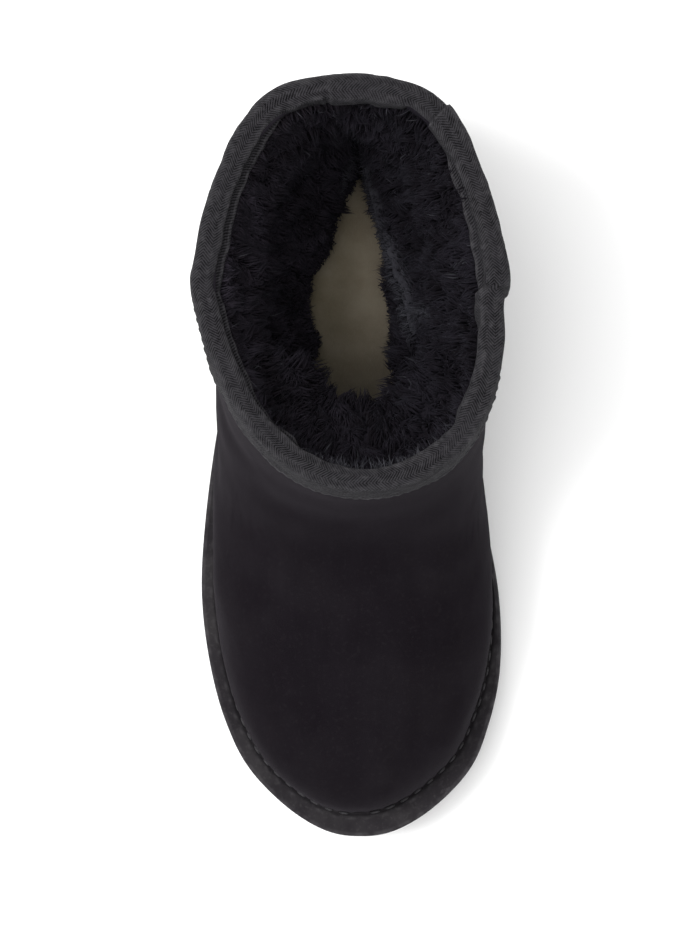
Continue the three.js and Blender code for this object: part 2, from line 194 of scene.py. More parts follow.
def loft_faces(rows, count, hoop=False, closed=True):
    """Quads between rings that run round the boot. A hoop's last ring joins its first."""
    bands, steps = rows if hoop else rows - 1, count if closed else count - 1
    row, i = np.meshgrid(np.arange(bands), np.arange(steps), indexing="ij")
    above, beside = (row + 1) % rows, (i + 1) % count
    quads = [row * count + i, row * count + beside, above * count + beside, above * count + i]
    return np.stack(quads, -1).reshape(-1, 4)


def strips_across(count, start, facing_up):
    """Quads from one side of a ring straight to the other, which close it."""
    i = np.arange(1, count // 2 - 1)
    quads = np.stack([i, i + 1, count - i - 1, count - i], -1)
    ends = np.array([[0, 1, count - 1], [count // 2, count // 2 + 1, count // 2 - 1]])
    if not facing_up:
        quads, ends = quads[:, ::-1], ends[:, ::-1]
    return [quads + start, ends + start]


def piece(name, points, faces, material, flat=None):
    """A mesh in place on the boot, which rides with it. faces: arrays of faces with like counts."""
    points = np.asarray(points, float).reshape(-1, 3) + (SIDE_SHIFT, 0, 0)
    faces = [f for f in faces if len(f)]
    mesh = bpy.data.meshes.new(name)
    mesh.vertices.add(len(points))
    mesh.vertices.foreach_set("co", (points * MM).astype(np.float32).ravel())
    corners = np.concatenate([f.ravel() for f in faces]).astype(np.int32)
    sizes = np.concatenate([np.full(len(f), f.shape[1]) for f in faces])
    mesh.loops.add(len(corners))
    mesh.loops.foreach_set("vertex_index", corners)
    mesh.polygons.add(len(sizes))
    mesh.polygons.foreach_set("loop_start", (np.cumsum(sizes) - sizes).astype(np.int32))
    mesh.polygons.foreach_set("use_smooth", np.ones(len(sizes), bool))
    if flat is not None:
        at = mesh.uv_layers.new(name="flat").data
        at.foreach_set("uv", (flat.reshape(-1, 2)[corners] * MM).astype(np.float32).ravel())
    mesh.update(calc_edges=True)
    mesh.validate()
    made = bpy.data.objects.new(name, mesh)
    mesh.materials.append(material)
    bpy.context.scene.collection.objects.link(made)
    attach(made, "root")
    return made


def node(tree, kind, inputs=None, **settings):
    """A shader node. inputs: by name or number, each a plain value or another node's output."""
    made = tree.nodes.new("ShaderNode" + kind)
    for name, value in settings.items():
        setattr(made, name, value)
    for name, value in (inputs or {}).items():
        if isinstance(value, bpy.types.NodeSocket):
            tree.links.new(value, made.inputs[name])
        else:
            made.inputs[name].default_value = value
    return made


def sum_of(tree, kind, a, b, c=0.0):
    """A Math node's result."""
    return node(tree, "Math", {0: a, 1: b, 2: c}, operation=kind).outputs[0]


def span(tree, value, low, high, to_low=0.0, to_high=1.0):
    """value brought from the span low-high to the span to_low-to_high, and held inside it."""
    inputs = {"Value": value, "From Min": low, "From Max": high, "To Min": to_low, "To Max": to_high}
    return node(tree, "MapRange", inputs).outputs["Result"]


def colours(tree, share, dark, light):
    ends = [end if isinstance(end, bpy.types.NodeSocket) else (*end, 1) for end in (dark, light)]
    return node(tree, "Mix", {"Factor": share, 6: ends[0], 7: ends[1]}, data_type="RGBA").outputs[2]


def tinted(tree, colour, mask, strength, tint):
    """A colour with a tint laid over it where a mask is, at some strength."""
    return colours(tree, sum_of(tree, "MULTIPLY", mask, strength), colour, tint)


def surface(tree, shader, colour, height, distance, strength):
    """The last step of a material: its colour, and its relief as a bump."""
    tree.links.new(colour, shader["Base Color"])
    bump = node(tree, "Bump", {"Height": height, "Distance": distance, "Strength": strength})
    tree.links.new(bump.outputs["Normal"], shader["Normal"])


def noise_of(tree, place, scale, detail=3.0, roughness=0.5):
    inputs = {"Vector": place, "Scale": scale, "Detail": detail, "Roughness": roughness}
    return node(tree, "TexNoise", inputs).outputs["Fac"]


def effect(name, inputs, outputs):
    """A shader node group with number inputs and number outputs."""
    tree = bpy.data.node_groups.new(name, "ShaderNodeTree")
    for label, value in inputs.items():
        tree.interface.new_socket(label, in_out="INPUT", socket_type="NodeSocketFloat").default_value = value
    for label in outputs:
        tree.interface.new_socket(label, in_out="OUTPUT", socket_type="NodeSocketFloat")
    return tree, tree.nodes.new("NodeGroupInput").outputs, tree.nodes.new("NodeGroupOutput").inputs


def use(tree, group, **inputs):
    """Places a node group in a material and gives back its outputs."""
    made = tree.nodes.new("ShaderNodeGroup")
    made.node_tree = group
    for name, value in inputs.items():
        made.inputs[name.replace("_", " ")].default_value = value
    return made.outputs


def finish(name, **constants):
    """A material, its node tree and its shader, with the shader's plain values set."""
    made = bpy.data.materials.new(name)
    made.use_nodes = True
    shader = made.node_tree.nodes["Principled BSDF"]
    for label, value in constants.items():
        shader.inputs[label.replace("_", " ")].default_value = value
    return made, made.node_tree, shader.inputs


# Worn edges: lighter where the surface turns sharply outward, broken up by a fine noise.
worn_edges, given, result = effect("worn edges", {"Reach": 0.06, "Broken": 160.0}, ["Mask"])
worn_place = node(worn_edges, "TexCoord").outputs["Object"]
sharpness = node(worn_edges, "NewGeometry").outputs["Pointiness"]
broken = span(worn_edges, noise_of(worn_edges, worn_place, given["Broken"], 4.0), 0.35, 0.7)
from_edge = sum_of(worn_edges, "SUBTRACT", sharpness, 0.5)
reached = node(worn_edges, "Math", {0: from_edge, 1: given["Reach"]}, operation="DIVIDE", use_clamp=True)
worn_edges.links.new(sum_of(worn_edges, "MULTIPLY", reached.outputs[0], broken), result["Mask"])

# Dust: a thin, patchy film on whatever faces up.
dust, given, result = effect("dust", {"Patches": 45.0, "Specks": 900.0}, ["Mask"])
dust_place = node(dust, "TexCoord").outputs["Object"]
facing = node(dust, "SeparateXYZ", {0: node(dust, "NewGeometry").outputs["Normal"]}).outputs["Z"]
patches = span(dust, noise_of(dust, dust_place, given["Patches"], 4.0), 0.45, 0.7)
specks = span(dust, noise_of(dust, dust_place, given["Specks"], 2.0), 0.55, 0.75)
film = sum_of(dust, "MULTIPLY", sum_of(dust, "ADD", patches, specks), span(dust, facing, 0.2, 0.9))
dust.links.new(sum_of(dust, "MULTIPLY", film, 0.5), result["Mask"])

# Moulded grain: small rounded pebbles with fine creases between them.
grain, given, result = effect("moulded grain", {"Pebbles": 900.0}, ["Height", "Shade"])
grain_place = node(grain, "TexCoord").outputs["Object"]
pebbles = node(grain, "TexVoronoi", {"Vector": grain_place, "Scale": given["Pebbles"]}).outputs["Distance"]
fine = noise_of(grain, grain_place, 4000.0, 2.0)
domed = sum_of(grain, "SUBTRACT", 1.0, pebbles)
grain.links.new(sum_of(grain, "MULTIPLY_ADD", fine, 0.25, domed), result["Height"])
grain.links.new(noise_of(grain, grain_place, 60.0, 5.0), result["Shade"])

sole_rubber, tree, shader = finish("black foam rubber", Roughness=0.66, Specular_IOR_Level=0.2)
moulded = use(tree, grain, Pebbles=1100.0)
shade = span(tree, moulded["Shade"], 0.35, 0.7)
rubber = colours(tree, shade, (0.0085, 0.0079, 0.0088), (0.0145, 0.0137, 0.015))
rubbed = use(tree, worn_edges, Reach=0.05)["Mask"]
rubber = tinted(tree, rubber, rubbed, 0.5, (0.075, 0.072, 0.076))
dusty = use(tree, dust, Patches=38.0)["Mask"]
rubber = tinted(tree, rubber, dusty, 0.2, (0.16, 0.155, 0.15))
surface(tree, shader, rubber, moulded["Height"], 0.00025, 0.55)

wall_up = np.linspace(0, 1, 49)
# A moulded line runs under the top edge, and a fainter one low down.
wall_inset = along(SOLE_WALL, "inset", wall_up) + 0.55 * bell(wall_up - 0.845, 0.022)
wall_inset += 0.3 * bell(wall_up - 0.3, 0.016)
turns = turns_of(SOLE_AROUND)
rings = []
for up, inset in zip(wall_up, wall_inset):
    ring = sole_inset(turns, np.full(SOLE_AROUND, inset))
    rings.append(at_height(ring, mix(tread_height(ring[:, 1]), seat_height(ring[:, 1]), up)))
sole_faces = [loft_faces(len(rings), SOLE_AROUND)]
sole_faces += strips_across(SOLE_AROUND, 0, False)
sole_faces += strips_across(SOLE_AROUND, (len(rings) - 1) * SOLE_AROUND, True)
outsole = piece("outsole_moulded", rings, sole_faces, sole_rubber)

# The tread's grooves. Bars bowed back at both ends are cut out of the sole and leave lugs between.
groove_x = np.linspace(-0.62 * BALL_WIDTH, 0.62 * BALL_WIDTH, 13)
groove_bars, groove_bar_faces = [], []
for y in FOREFOOT_GROOVES + HEEL_GROOVES:
    bowed = y + GROOVE_BOW * (groove_x / groove_x[-1]) ** 2
    top = tread_height(np.array(y)) + GROOVE_DEPTH
    mouth, bottom = GROOVE_WIDTH / 2, 0.38 * GROOVE_WIDTH
    corners = [(-mouth, -2), (mouth, -2), (bottom, top), (-bottom, top)]
    start = sum(len(bar) for bar in groove_bars)
    groove_bars.append(np.array([(x, at + dy, z) for x, at in zip(groove_x, bowed) for dy, z in corners]))
    groove_bar_faces.append(loft_faces(len(groove_x), 4) + start)
    ends = np.array([[3, 2, 1, 0], np.arange(4) + 4 * (len(groove_x) - 1)])
    groove_bar_faces.append(ends + start)
bars = piece("groove_bars", np.concatenate(groove_bars), groove_bar_faces, sole_rubber)
cut = outsole.modifiers.new("tread", "BOOLEAN")
cut.object, cut.operation, cut.solver = bars, "DIFFERENCE", "EXACT"
grooved = bpy.data.meshes.new_from_object(outsole.evaluated_get(bpy.context.evaluated_depsgraph_get()))
outsole.modifiers.clear()
outsole.data = grooved
bpy.data.objects.remove(bars)
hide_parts("outsole")


# ----------------------------------------
# Upper's form. Everything above the sole follows one form: sections carried from the sole's
# outline up to the collar's. A level is 0 at the feather edge and 1 at the collar.
# Welt. A strip of grey-black suede-faced rubber laid on the seat round the upper, its outer edge
# rolled over, its inner edge sewn down to the upper in a channel.
# ----------------------------------------

RIM_SIDE, RIM_TOE, RIM_SHIFT, RIM_TOE_SWING = 5.2, 10.2, 2.0, 1.2
WELT_THICKNESS = 3.0
STITCH_PITCH = 5.75
CHANNEL_IN = 1.9  # middle of the stitch channel, out from the upper

COLLAR_LENGTH, COLLAR_WIDTH = 137.3, 101.4
COLLAR_CENTRE, COLLAR_MIDDLE, COLLAR_SWING, COLLAR_ROUNDING = 61.8, 5.0, 5.2, 0.9
COLLAR_FRONT, COLLAR_BACK, FEATHER_FRONT = 148.4, 144.8, 25.3

# frontIn, sideIn: share of the way in from the sole's outline to the collar's, at the front and at
# the sides. frontUp: height at the front. sideUp: share of the way up, at the sides.
SECTIONS = columns("at frontIn frontUp sideIn sideUp", [
    (0.00, 0.000, 25.3, 0.00, 0.000),
    (0.12, 0.000, 35.0, 0.00, 0.060),
    (0.22, 0.030, 45.0, 0.02, 0.110),
    (0.32, 0.115, 54.0, 0.07, 0.155),
    (0.44, 0.280, 62.5, 0.16, 0.205),
    (0.55, 0.480, 69.5, 0.28, 0.260),
    (0.66, 0.700, 79.0, 0.42, 0.340),
    (0.77, 0.860, 95.0, 0.59, 0.470),
    (0.88, 0.945, 118.0, 0.79, 0.690),
    (1.00, 1.000, 148.4, 1.00, 1.000),
])
# How much fuller than that each section is at the toe, sides and heel, and its lean sideways.
FULLNESS = columns("at toe side heel lean", [
    (0.00, 0.0, 0.0, 0.0, 0.0),
    (0.12, 1.0, 1.2, 1.2, 0.0),
    (0.22, 1.6, 1.8, 2.2, 0.0),
    (0.32, 2.0, 2.1, 2.8, 0.1),
    (0.44, 2.1, 1.8, 3.0, -0.4),
    (0.55, 2.0, 0.4, 3.0, -1.3),
    (0.66, 1.5, -1.6, 2.6, -1.9),
    (0.77, 0.8, -3.0, 1.8, -1.9),
    (0.88, 0.0, -2.4, 0.2, -1.1),
    (1.00, 0.0, 0.0, 0.0, 0.0),
])


def front_share(turn):
    return np.maximum(0, np.cos(turn)) ** 1.7


def rim_width(turn):
    front = front_share(turn)
    return mix(RIM_SIDE - RIM_SHIFT * np.sin(turn), RIM_TOE, front) + RIM_TOE_SWING * np.sin(2 * turn) * front


def collar_edge(turn):
    forward = np.maximum(0, np.cos(turn))
    middle = COLLAR_MIDDLE + COLLAR_SWING * smooth(forward / COLLAR_ROUNDING)
    x = middle + COLLAR_WIDTH / 2 * rounded_sine(turn, COLLAR_ROUNDING)
    y = COLLAR_CENTRE - COLLAR_LENGTH / 2 * np.cos(turn)
    return np.stack([x, y, mix(COLLAR_BACK, COLLAR_FRONT, (1 + np.cos(turn)) / 2)], -1)


def form_point(turn, level):
    """A point on the outside of the upper, before any crease or seam."""
    turn, level = np.broadcast_arrays(np.asarray(turn, float), np.asarray(level, float))
    front = front_share(turn)
    foot = sole_inset(turn, rim_width(turn))
    foot_height = seat_height(foot[..., 1]) + GAP
    collar = collar_edge(turn)
    inward = mix(along(SECTIONS, "sideIn", level), along(SECTIONS, "frontIn", level), front)
    front_rise = (along(SECTIONS, "frontUp", level) - FEATHER_FRONT) / (COLLAR_FRONT - FEATHER_FRONT)
    up = mix(along(SECTIONS, "sideUp", level), front_rise, front)
    toe = np.maximum(0, np.cos(turn)) ** 2
    heel = smooth((0.2 - np.cos(turn)) / 0.9)
    full = toe * along(FULLNESS, "toe", level) + heel * along(FULLNESS, "heel", level)
    full = full + (1 - toe - heel) * along(FULLNESS, "side", level)
    flat = mix(foot, collar[..., :2], inward[..., None]) + sole_outward(turn) * full[..., None]
    flat[..., 0] += along(FULLNESS, "lean", level)
    return at_height(flat, mix(foot_height, collar[..., 2], up))


def form_normal(turn, level):
    turn, level = np.broadcast_arrays(np.asarray(turn, float), np.asarray(level, float))
    around = form_point(turn + 0.01, level) - form_point(turn - 0.01, level)
    rise = form_point(turn, np.minimum(1, level + 0.01)) - form_point(turn, np.maximum(0, level - 0.01))
    normal = np.cross(around, rise)
    normal /= np.linalg.norm(normal, axis=-1, keepdims=True)
    normal[..., 2] *= np.minimum(smooth(level / 0.08), smooth((1 - level) / 0.12))
    return normal / np.linalg.norm(normal, axis=-1, keepdims=True)


def level_at(turn, height):
    """The level at which the form stands at a height."""
    low, high = np.zeros(np.shape(turn)), np.ones(np.shape(turn))
    for _ in range(26):
        middle = (low + high) / 2
        under = form_point(turn, middle)[..., 2] < height
        low, high = np.where(under, middle, low), np.where(under, high, middle)
    return high


def lumps(points, size, seed):
    """Soft random relief from -1 to 1, with bumps about as large as size."""
    table = np.random.default_rng(seed).uniform(-1, 1, (32, 32, 32))
    place = points / size
    cell = np.floor(place).astype(int)
    part = smooth(place - cell)
    total = 0
    for corner in np.ndindex(2, 2, 2):
        share = np.prod(np.where(corner, part, 1 - part), axis=-1)
        total = total + share * table[tuple(np.moveaxis((cell + corner) % 32, -1, 0))]
    return total


# The seam's stitches are counted round the feather edge, so that welt, upper and thread agree.
seam_turns = np.linspace(0, 2 * math.pi, 4001)
seam_line = sole_inset(seam_turns, rim_width(seam_turns) - CHANNEL_IN)
seam_run = np.concatenate([[0], np.cumsum(np.linalg.norm(np.diff(seam_line, axis=0), axis=1))])
STITCHES = round(seam_run[-1] / STITCH_PITCH)


def stitch_phase(turn):
    """Stitches passed since the toe: whole numbers at the middle of each stitch."""
    return np.interp(turn % (2 * math.pi), seam_turns, seam_run) / seam_run[-1] * STITCHES


def between_stitches(turn):
    """1 half-way between two stitches, where the edge puffs up, and 0 under each stitch."""
    return np.sin(math.pi * stitch_phase(turn)) ** 2


def sewn(name, points, normals, dashes, thickness, material, rise=0.25, sides=8, steps=9):
    """Stitches: short rounded rolls of thread laid along a line, whose ends dip into it.
    dashes: where each stitch begins and ends, as places on the line from 0 to its last point."""
    share = np.linspace(0, 1, steps)
    place = dashes[:, :1] + (dashes[:, 1:] - dashes[:, :1]) * share
    last = len(points) - 1
    i = np.clip(np.floor(place).astype(int), 0, last - 1)
    part = (place - i)[..., None]
    centre, normal = mix(points[i], points[i + 1], part), mix(normals[i], normals[i + 1], part)
    ahead = np.gradient(centre, axis=1)
    ahead /= np.linalg.norm(ahead, axis=-1, keepdims=True)
    aside = np.cross(ahead, normal)
    aside /= np.linalg.norm(aside, axis=-1, keepdims=True)
    normal = np.cross(aside, ahead)
    full = np.sqrt(np.clip(1 - np.abs(2 * share - 1) ** 3.5, 0.05, 1))
    lifted = centre + normal * ((full - 0.55) * thickness * (1 + rise))[None, :, None]
    angle = turns_of(sides)
    across = np.cos(angle)[:, None] * normal[:, :, None] * 0.8 + np.sin(angle)[:, None] * aside[:, :, None]
    rolls = lifted[:, :, None] + across * (full * thickness / 2)[None, :, None, None]
    start = np.arange(len(dashes))[:, None, None] * steps * sides
    body = (loft_faces(steps, sides) + start).reshape(-1, 4)
    caps = np.stack([np.arange(sides)[::-1], np.arange(sides) + (steps - 1) * sides])
    flat = np.stack(np.broadcast_arrays(place[..., None] * 3, (angle * thickness / 2)[None, None]), -1)
    return piece(name, rolls, [body, (caps + start).reshape(-1, sides)], material, flat)


# Nap: brushed suede. Broad soft patches where the nap lies differently, short brush marks, and
# the fine standing fibres.
nap_scales = {"Patches": 26.0, "Brushing": 120.0, "Fibres": 2600.0}
nap, given, result = effect("nap", nap_scales, ["Shade", "Height"])
nap_place = node(nap, "TexCoord").outputs["Object"]
broad = noise_of(nap, nap_place, given["Patches"], 4.0, 0.55)
brushed_place = node(nap, "Mapping", {"Vector": nap_place, "Scale": (1.0, 0.28, 0.5)}).outputs[0]
brush_marks = noise_of(nap, brushed_place, given["Brushing"], 4.0, 0.6)
fibres = noise_of(nap, nap_place, given["Fibres"], 3.0, 0.65)
shade = sum_of(nap, "MULTIPLY_ADD", broad, 0.6, sum_of(nap, "MULTIPLY", brush_marks, 0.4))
nap.links.new(span(nap, sum_of(nap, "MULTIPLY_ADD", fibres, 0.25, shade), 0.42, 0.85), result["Shade"])
nap.links.new(sum_of(nap, "MULTIPLY_ADD", brush_marks, 0.5, fibres), result["Height"])

# Thread: two plies twisted round each other.
twist, given, result = effect("thread twist", {"Plies": 1700.0}, ["Height"])
twist_flat = node(twist, "SeparateXYZ", {0: node(twist, "UVMap", uv_map="flat").outputs[0]}).outputs
wound = sum_of(twist, "ADD", twist_flat["X"], twist_flat["Y"])
wound = sum_of(twist, "MULTIPLY", wound, given["Plies"])
twist.links.new(sum_of(twist, "SINE", wound, 0.0), result["Height"])

welt_suede, tree, shader = finish(
    "grey suede rubber", Roughness=0.85, Specular_IOR_Level=0.1, Sheen_Weight=0.05, Sheen_Roughness=0.5,
    Sheen_Tint=(0.7, 0.68, 0.74, 1),
)
napped = use(tree, nap, Patches=70.0, Brushing=420.0, Fibres=3200.0)
strip = colours(tree, napped["Shade"], (0.0092, 0.0079, 0.0095), (0.0165, 0.0146, 0.0168))
rubbed = use(tree, worn_edges, Reach=0.05, Broken=240.0)["Mask"]
strip = tinted(tree, strip, rubbed, 0.6, (0.085, 0.081, 0.086))
dusty = use(tree, dust, Patches=60.0)["Mask"]
strip = tinted(tree, strip, dusty, 0.12, (0.17, 0.165, 0.16))
surface(tree, shader, strip, napped["Height"], 0.00022, 0.5)

seam_thread, tree, shader = finish("waxed grey thread", Roughness=0.55, Specular_IOR_Level=0.3)
twisted = use(tree, twist)["Height"]
yarn = colours(tree, span(tree, twisted, -1, 1), (0.014, 0.013, 0.015), (0.034, 0.0325, 0.0355))
surface(tree, shader, yarn, twisted, 0.00008, 0.6)

WELT_AROUND = 768
turns = turns_of(WELT_AROUND)
rim = rim_width(turns)
puff = between_stitches(turns)
channel = np.minimum(CHANNEL_IN, 0.5 * rim)


def welt_top(inset):
    """Height of the strip above the seat, in from the sole's outline."""
    from_upper = rim - inset
    dip = -0.75 * bell(from_upper - channel, 0.75)
    raised = 0.5 * puff * bell(from_upper - 0.35, 0.8) + 0.28 * puff * bell(from_upper - channel - 1.7, 0.9)
    crown = 0.35 * np.sin(math.pi * np.clip(inset / rim, 0, 1))
    return WELT_THICKNESS + dip + raised + crown


def welt_ring(inset, up):
    ring = sole_inset(turns, inset)
    wavy = lumps(at_height(ring, 0), 9.0, 11) * 0.16 + lumps(at_height(ring, 0), 2.6, 12) * 0.05
    return at_height(ring, seat_height(ring[:, 1]) + GAP + up + wavy * smooth(up / WELT_THICKNESS))


edge_roll = [(1.1, 0.0), (0.45, 0.35), (0.12, 0.9), (0.02, 1.5), (0.12, 2.1), (0.42, 2.62), (0.85, 2.93)]
foot = form_point(turns, 0.0)
beside_upper = []
for up in (WELT_THICKNESS, 2.2, 1.2):
    beside = form_point(turns, level_at(turns, foot[:, 2] + up))
    beside[:, :2] += sole_outward(turns) * GAP
    beside_upper.append(beside)
rings = [welt_ring(np.full(WELT_AROUND, inset), np.full(WELT_AROUND, up)) for inset, up in edge_roll]
for share in np.linspace(0, 1, 30):
    inset = mix(1.35, rim - GAP - 0.25, share)
    rings.append(welt_ring(inset, welt_top(inset)))
rings += beside_upper
rings.append(at_height(sole_inset(turns, rim - GAP), seat_height(foot[:, 1]) + GAP))
welt = piece("welt_strip", rings, [loft_faces(len(rings), WELT_AROUND, hoop=True)], welt_suede)
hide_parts("welt")

# Its stitches, each pulled down at both ends.
line_turns = np.interp(np.arange(0, STITCHES * 12 + 1) / 12, stitch_phase(seam_turns[:-1]), seam_turns[:-1])
line_turns[-1] = 2 * math.pi
line_rim = rim_width(line_turns)
line = sole_inset(line_turns, line_rim - np.minimum(CHANNEL_IN, 0.5 * line_rim))
line = at_height(line, seat_height(line[:, 1]) + GAP + WELT_THICKNESS - 0.1)
middles = np.arange(1, STITCHES)[:, None] * 12.0
lengths = np.random.default_rng(5).uniform(0.27, 0.35, (len(middles), 1)) * 12
dashes = np.concatenate([middles - lengths, middles + lengths], 1)
line_up = np.tile([0.0, 0.0, 1.0], (len(line), 1))
welt_seam = sewn("welt_stitches", line, line_up, dashes, 0.9, seam_thread)


# ----------------------------------------
# Insole. A loose sock of cream wool felt, cut a little smaller than the inside of the boot and
# laid on the seat. Its face is felted unevenly, with painted shade: darker and yellower towards the outer
# side, darker towards the toe.
# ----------------------------------------

INSOLE_THICKNESS = 4.5
FEATHER_WALL = 6.0
INSOLE_IN = FEATHER_WALL + 0.7

insole_felt, tree, shader = finish(
    "cream wool felt", Roughness=0.95, Specular_IOR_Level=0.1, Sheen_Weight=0.2, Sheen_Roughness=0.6,
)
felt_place = node(tree, "TexCoord").outputs["Object"]
felted = noise_of(tree, felt_place, 75.0, 5.0, 0.6)
across = node(tree, "SeparateXYZ", {0: felt_place}).outputs
# Painted shade: the felt is darker and yellower towards the outer side.
cream = colours(tree, span(tree, across["X"], -0.014, 0.012), (0.090, 0.076, 0.047), (0.104, 0.085, 0.062))
cream = colours(tree, span(tree, felted, 0.4, 0.72), cream, (0.130, 0.112, 0.082))
combed = node(tree, "Mapping", {"Vector": felt_place, "Scale": (1, 0.3, 1)}).outputs[0]
hairs = noise_of(tree, combed, 2200.0, 4.0, 0.7)
# Painted shade: the felt darkens towards the toe, where it lies deeper under the wool.
cream = colours(tree, span(tree, across["Y"], 0.07, 0.03, 0.0, 0.6), cream, (0.034, 0.029, 0.020))
cream = colours(tree, span(tree, hairs, 0.55, 0.8, 0.0, 0.3), cream, (0.15, 0.13, 0.1))
fuzz_height = sum_of(tree, "MULTIPLY_ADD", felted, 1.5, hairs)
surface(tree, shader, cream, fuzz_height, 0.0006, 0.7)

INSOLE_AROUND = 200
turns = turns_of(INSOLE_AROUND)
insole_edge = sole_inset(turns, rim_width(turns) + INSOLE_IN)
insole_middle = np.array([0.5, 0.0])


def insole_ring(size, up):
    ring = mix(insole_middle, insole_edge, size)
    level = seat_height(ring[:, 1]) + GAP + up
    felted = 0.35 * lumps(at_height(ring, 0), 11.0, 21) + 0.16 * lumps(at_height(ring, 0), 3.2, 22)
    return at_height(ring, level + felted * (up > 2) * smooth((1 - size) / 0.06))


insole_sizes = np.linspace(0.02, 0.97, 44)
rings = [insole_ring(size, 0.0) for size in (0.02, 0.3, 0.7, 0.99)]
rings += [insole_ring(size, up) for size, up in ((1.0, 0.6), (1.0, 3.3), (0.994, 4.1), (0.985, 4.4))]
rings += [insole_ring(size, INSOLE_THICKNESS) for size in insole_sizes[::-1]]
insole_faces = [loft_faces(len(rings), INSOLE_AROUND)]
insole_faces += strips_across(INSOLE_AROUND, 0, False)
insole_faces += strips_across(INSOLE_AROUND, (len(rings) - 1) * INSOLE_AROUND, True)
insole = piece("insole_felt_sock", rings, insole_faces, insole_felt)
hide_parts("insole")


# ----------------------------------------
# Upper. The suede side of one sheepskin, blue-black, brushed. The vamp panel laps over the back
# quarter in a seam down each side, sewn twice. The skin folds softly where the foot bends, and its
# foot is drawn into small puckers by the welt seam.
# ----------------------------------------

UPPER_AROUND = 540
SUEDE = 1.8  # thickness of the hide without its wool
SEAM_FOOT, SEAM_TOP = 57.0, 61.0  # how far behind the boot's middle the side seam runs
SEAM_LAP = 8.0
COUNTER_TOP = 80.0

# Folds, each a soft trough along a line given by three places (degrees of turn, level), with a low
# ridge on each side. depth, width in millimetres.
FOLDS = [
    ([(-66, 0.665), (0, 0.742), (64, 0.66)], 0.9, 7.5),
    ([(-52, 0.845), (-14, 0.805), (26, 0.83)], 0.5, 6.5),
    ([(-60, 0.585), (-38, 0.625), (-12, 0.64)], 0.5, 6.0),
    ([(58, 0.60), (34, 0.63), (10, 0.655)], 0.5, 6.0),
    ([(-122, 0.50), (-97, 0.60), (-70, 0.67)], 1.3, 7.0),
    ([(120, 0.49), (96, 0.585), (70, 0.655)], 1.3, 7.0),
    ([(146, 0.76), (182, 0.715), (216, 0.765)], 1.2, 6.5),
    ([(-104, 0.885), (-72, 0.855), (-46, 0.88)], 0.8, 6.0),
    ([(58, 0.885), (92, 0.85), (124, 0.875)], 0.8, 6.0),
]


def three_point_curve(places, shares):
    a, b, c = (np.array(place, float) for place in places)
    shares = shares[:, None]
    return a * (1 - shares) * (1 - 2 * shares) + b * 4 * shares * (1 - shares) + c * shares * (2 * shares - 1)


def fold_relief(points):
    relief = np.zeros(points.shape[:-1])
    for places, depth, width in FOLDS:
        shares = np.linspace(0, 1, 25)
        run = three_point_curve(places, shares)
        bottom = form_point(np.radians(run[:, 0]), run[:, 1])
        nearest, place = np.full(relief.shape, 1e9), np.zeros(relief.shape)
        ahead = np.gradient(bottom, axis=0)
        step = np.linalg.norm(ahead, axis=1)
        for share, spot, way, length in zip(shares, bottom, ahead / step[:, None], step):
            passed = np.clip(((points - spot) * way).sum(-1), -length / 2, length / 2)
            away = np.linalg.norm(points - spot - passed[..., None] * way, axis=-1)
            closer = away < nearest
            nearest, place = np.where(closer, away, nearest), np.where(closer, share, place)
        fading = np.sin(math.pi * np.clip(place, 0.02, 0.98)) ** 0.7
        relief += fading * depth * (0.45 * bell(nearest - 1.9 * width, width) - bell(nearest, width))
    return relief


def collar_swell(turn):
    """How far the thick ends of the side seams push the collar out."""
    y = COLLAR_CENTRE - COLLAR_LENGTH / 2 * np.cos(turn)
    medial, lateral = np.sin(turn) > 0.3, np.sin(turn) < -0.3
    behind = y - (SEAM_TOP - 2.0)
    stepped = 1.9 * smooth(behind / 2.2) * (1 - smooth((behind - 4) / 20)) - 0.7 * bell(behind + 6, 6)
    rounded = 1.6 * bell(y - SEAM_TOP - 1, 8)
    corners = 2.6 * bell(np.degrees(turn) - 211, 15) + 2.2 * bell(np.degrees(turn) - 151, 13)
    return np.where(medial, stepped, 0) + np.where(lateral, rounded, 0) + corners


def past_seam(points):
    """Distance behind the side seam, which slants a little."""
    return points[..., 1] - mix(SEAM_FOOT, SEAM_TOP, np.clip((points[..., 2] - 28) / 110, 0, 1))


def suede_point(turn, level, proud=0.0):
    """The finished outside of the hide, with its folds, puckers and seams."""
    turn, level = np.broadcast_arrays(np.asarray(turn, float), np.asarray(level, float))
    points, normals = form_point(turn, level), form_normal(turn, level)
    above_foot = points[..., 2] - seat_height(points[..., 1]) - GAP
    below_edge = collar_edge(turn)[..., 2] - points[..., 2]
    free = smooth((above_foot - 3) / 6) * smooth((below_edge - 6) / 18)
    loose = 0.75 * lumps(points, 34.0, 31) + 0.3 * lumps(points, 14.0, 32) + 0.08 * lumps(points, 5.0, 33)
    relief = (fold_relief(points) + loose) * free
    behind = past_seam(points)
    lap = 0.95 * smooth((behind + SEAM_LAP + 3) / 6) * (1 - smooth((behind + 0.6) / 1.3))
    relief += (lap - 0.45 * bell(behind - 1.4, 1.2)) * smooth((above_foot - 3) / 3)
    drawn = smooth((above_foot - 2.6) / 1.2) * (1 - smooth((above_foot - 4.5) / 7))
    relief += (1.0 * between_stitches(turn) - 0.35) * drawn
    relief += collar_swell(turn) * smooth((30 - below_edge) / 30)
    return points + normals * (relief + proud)[..., None], normals


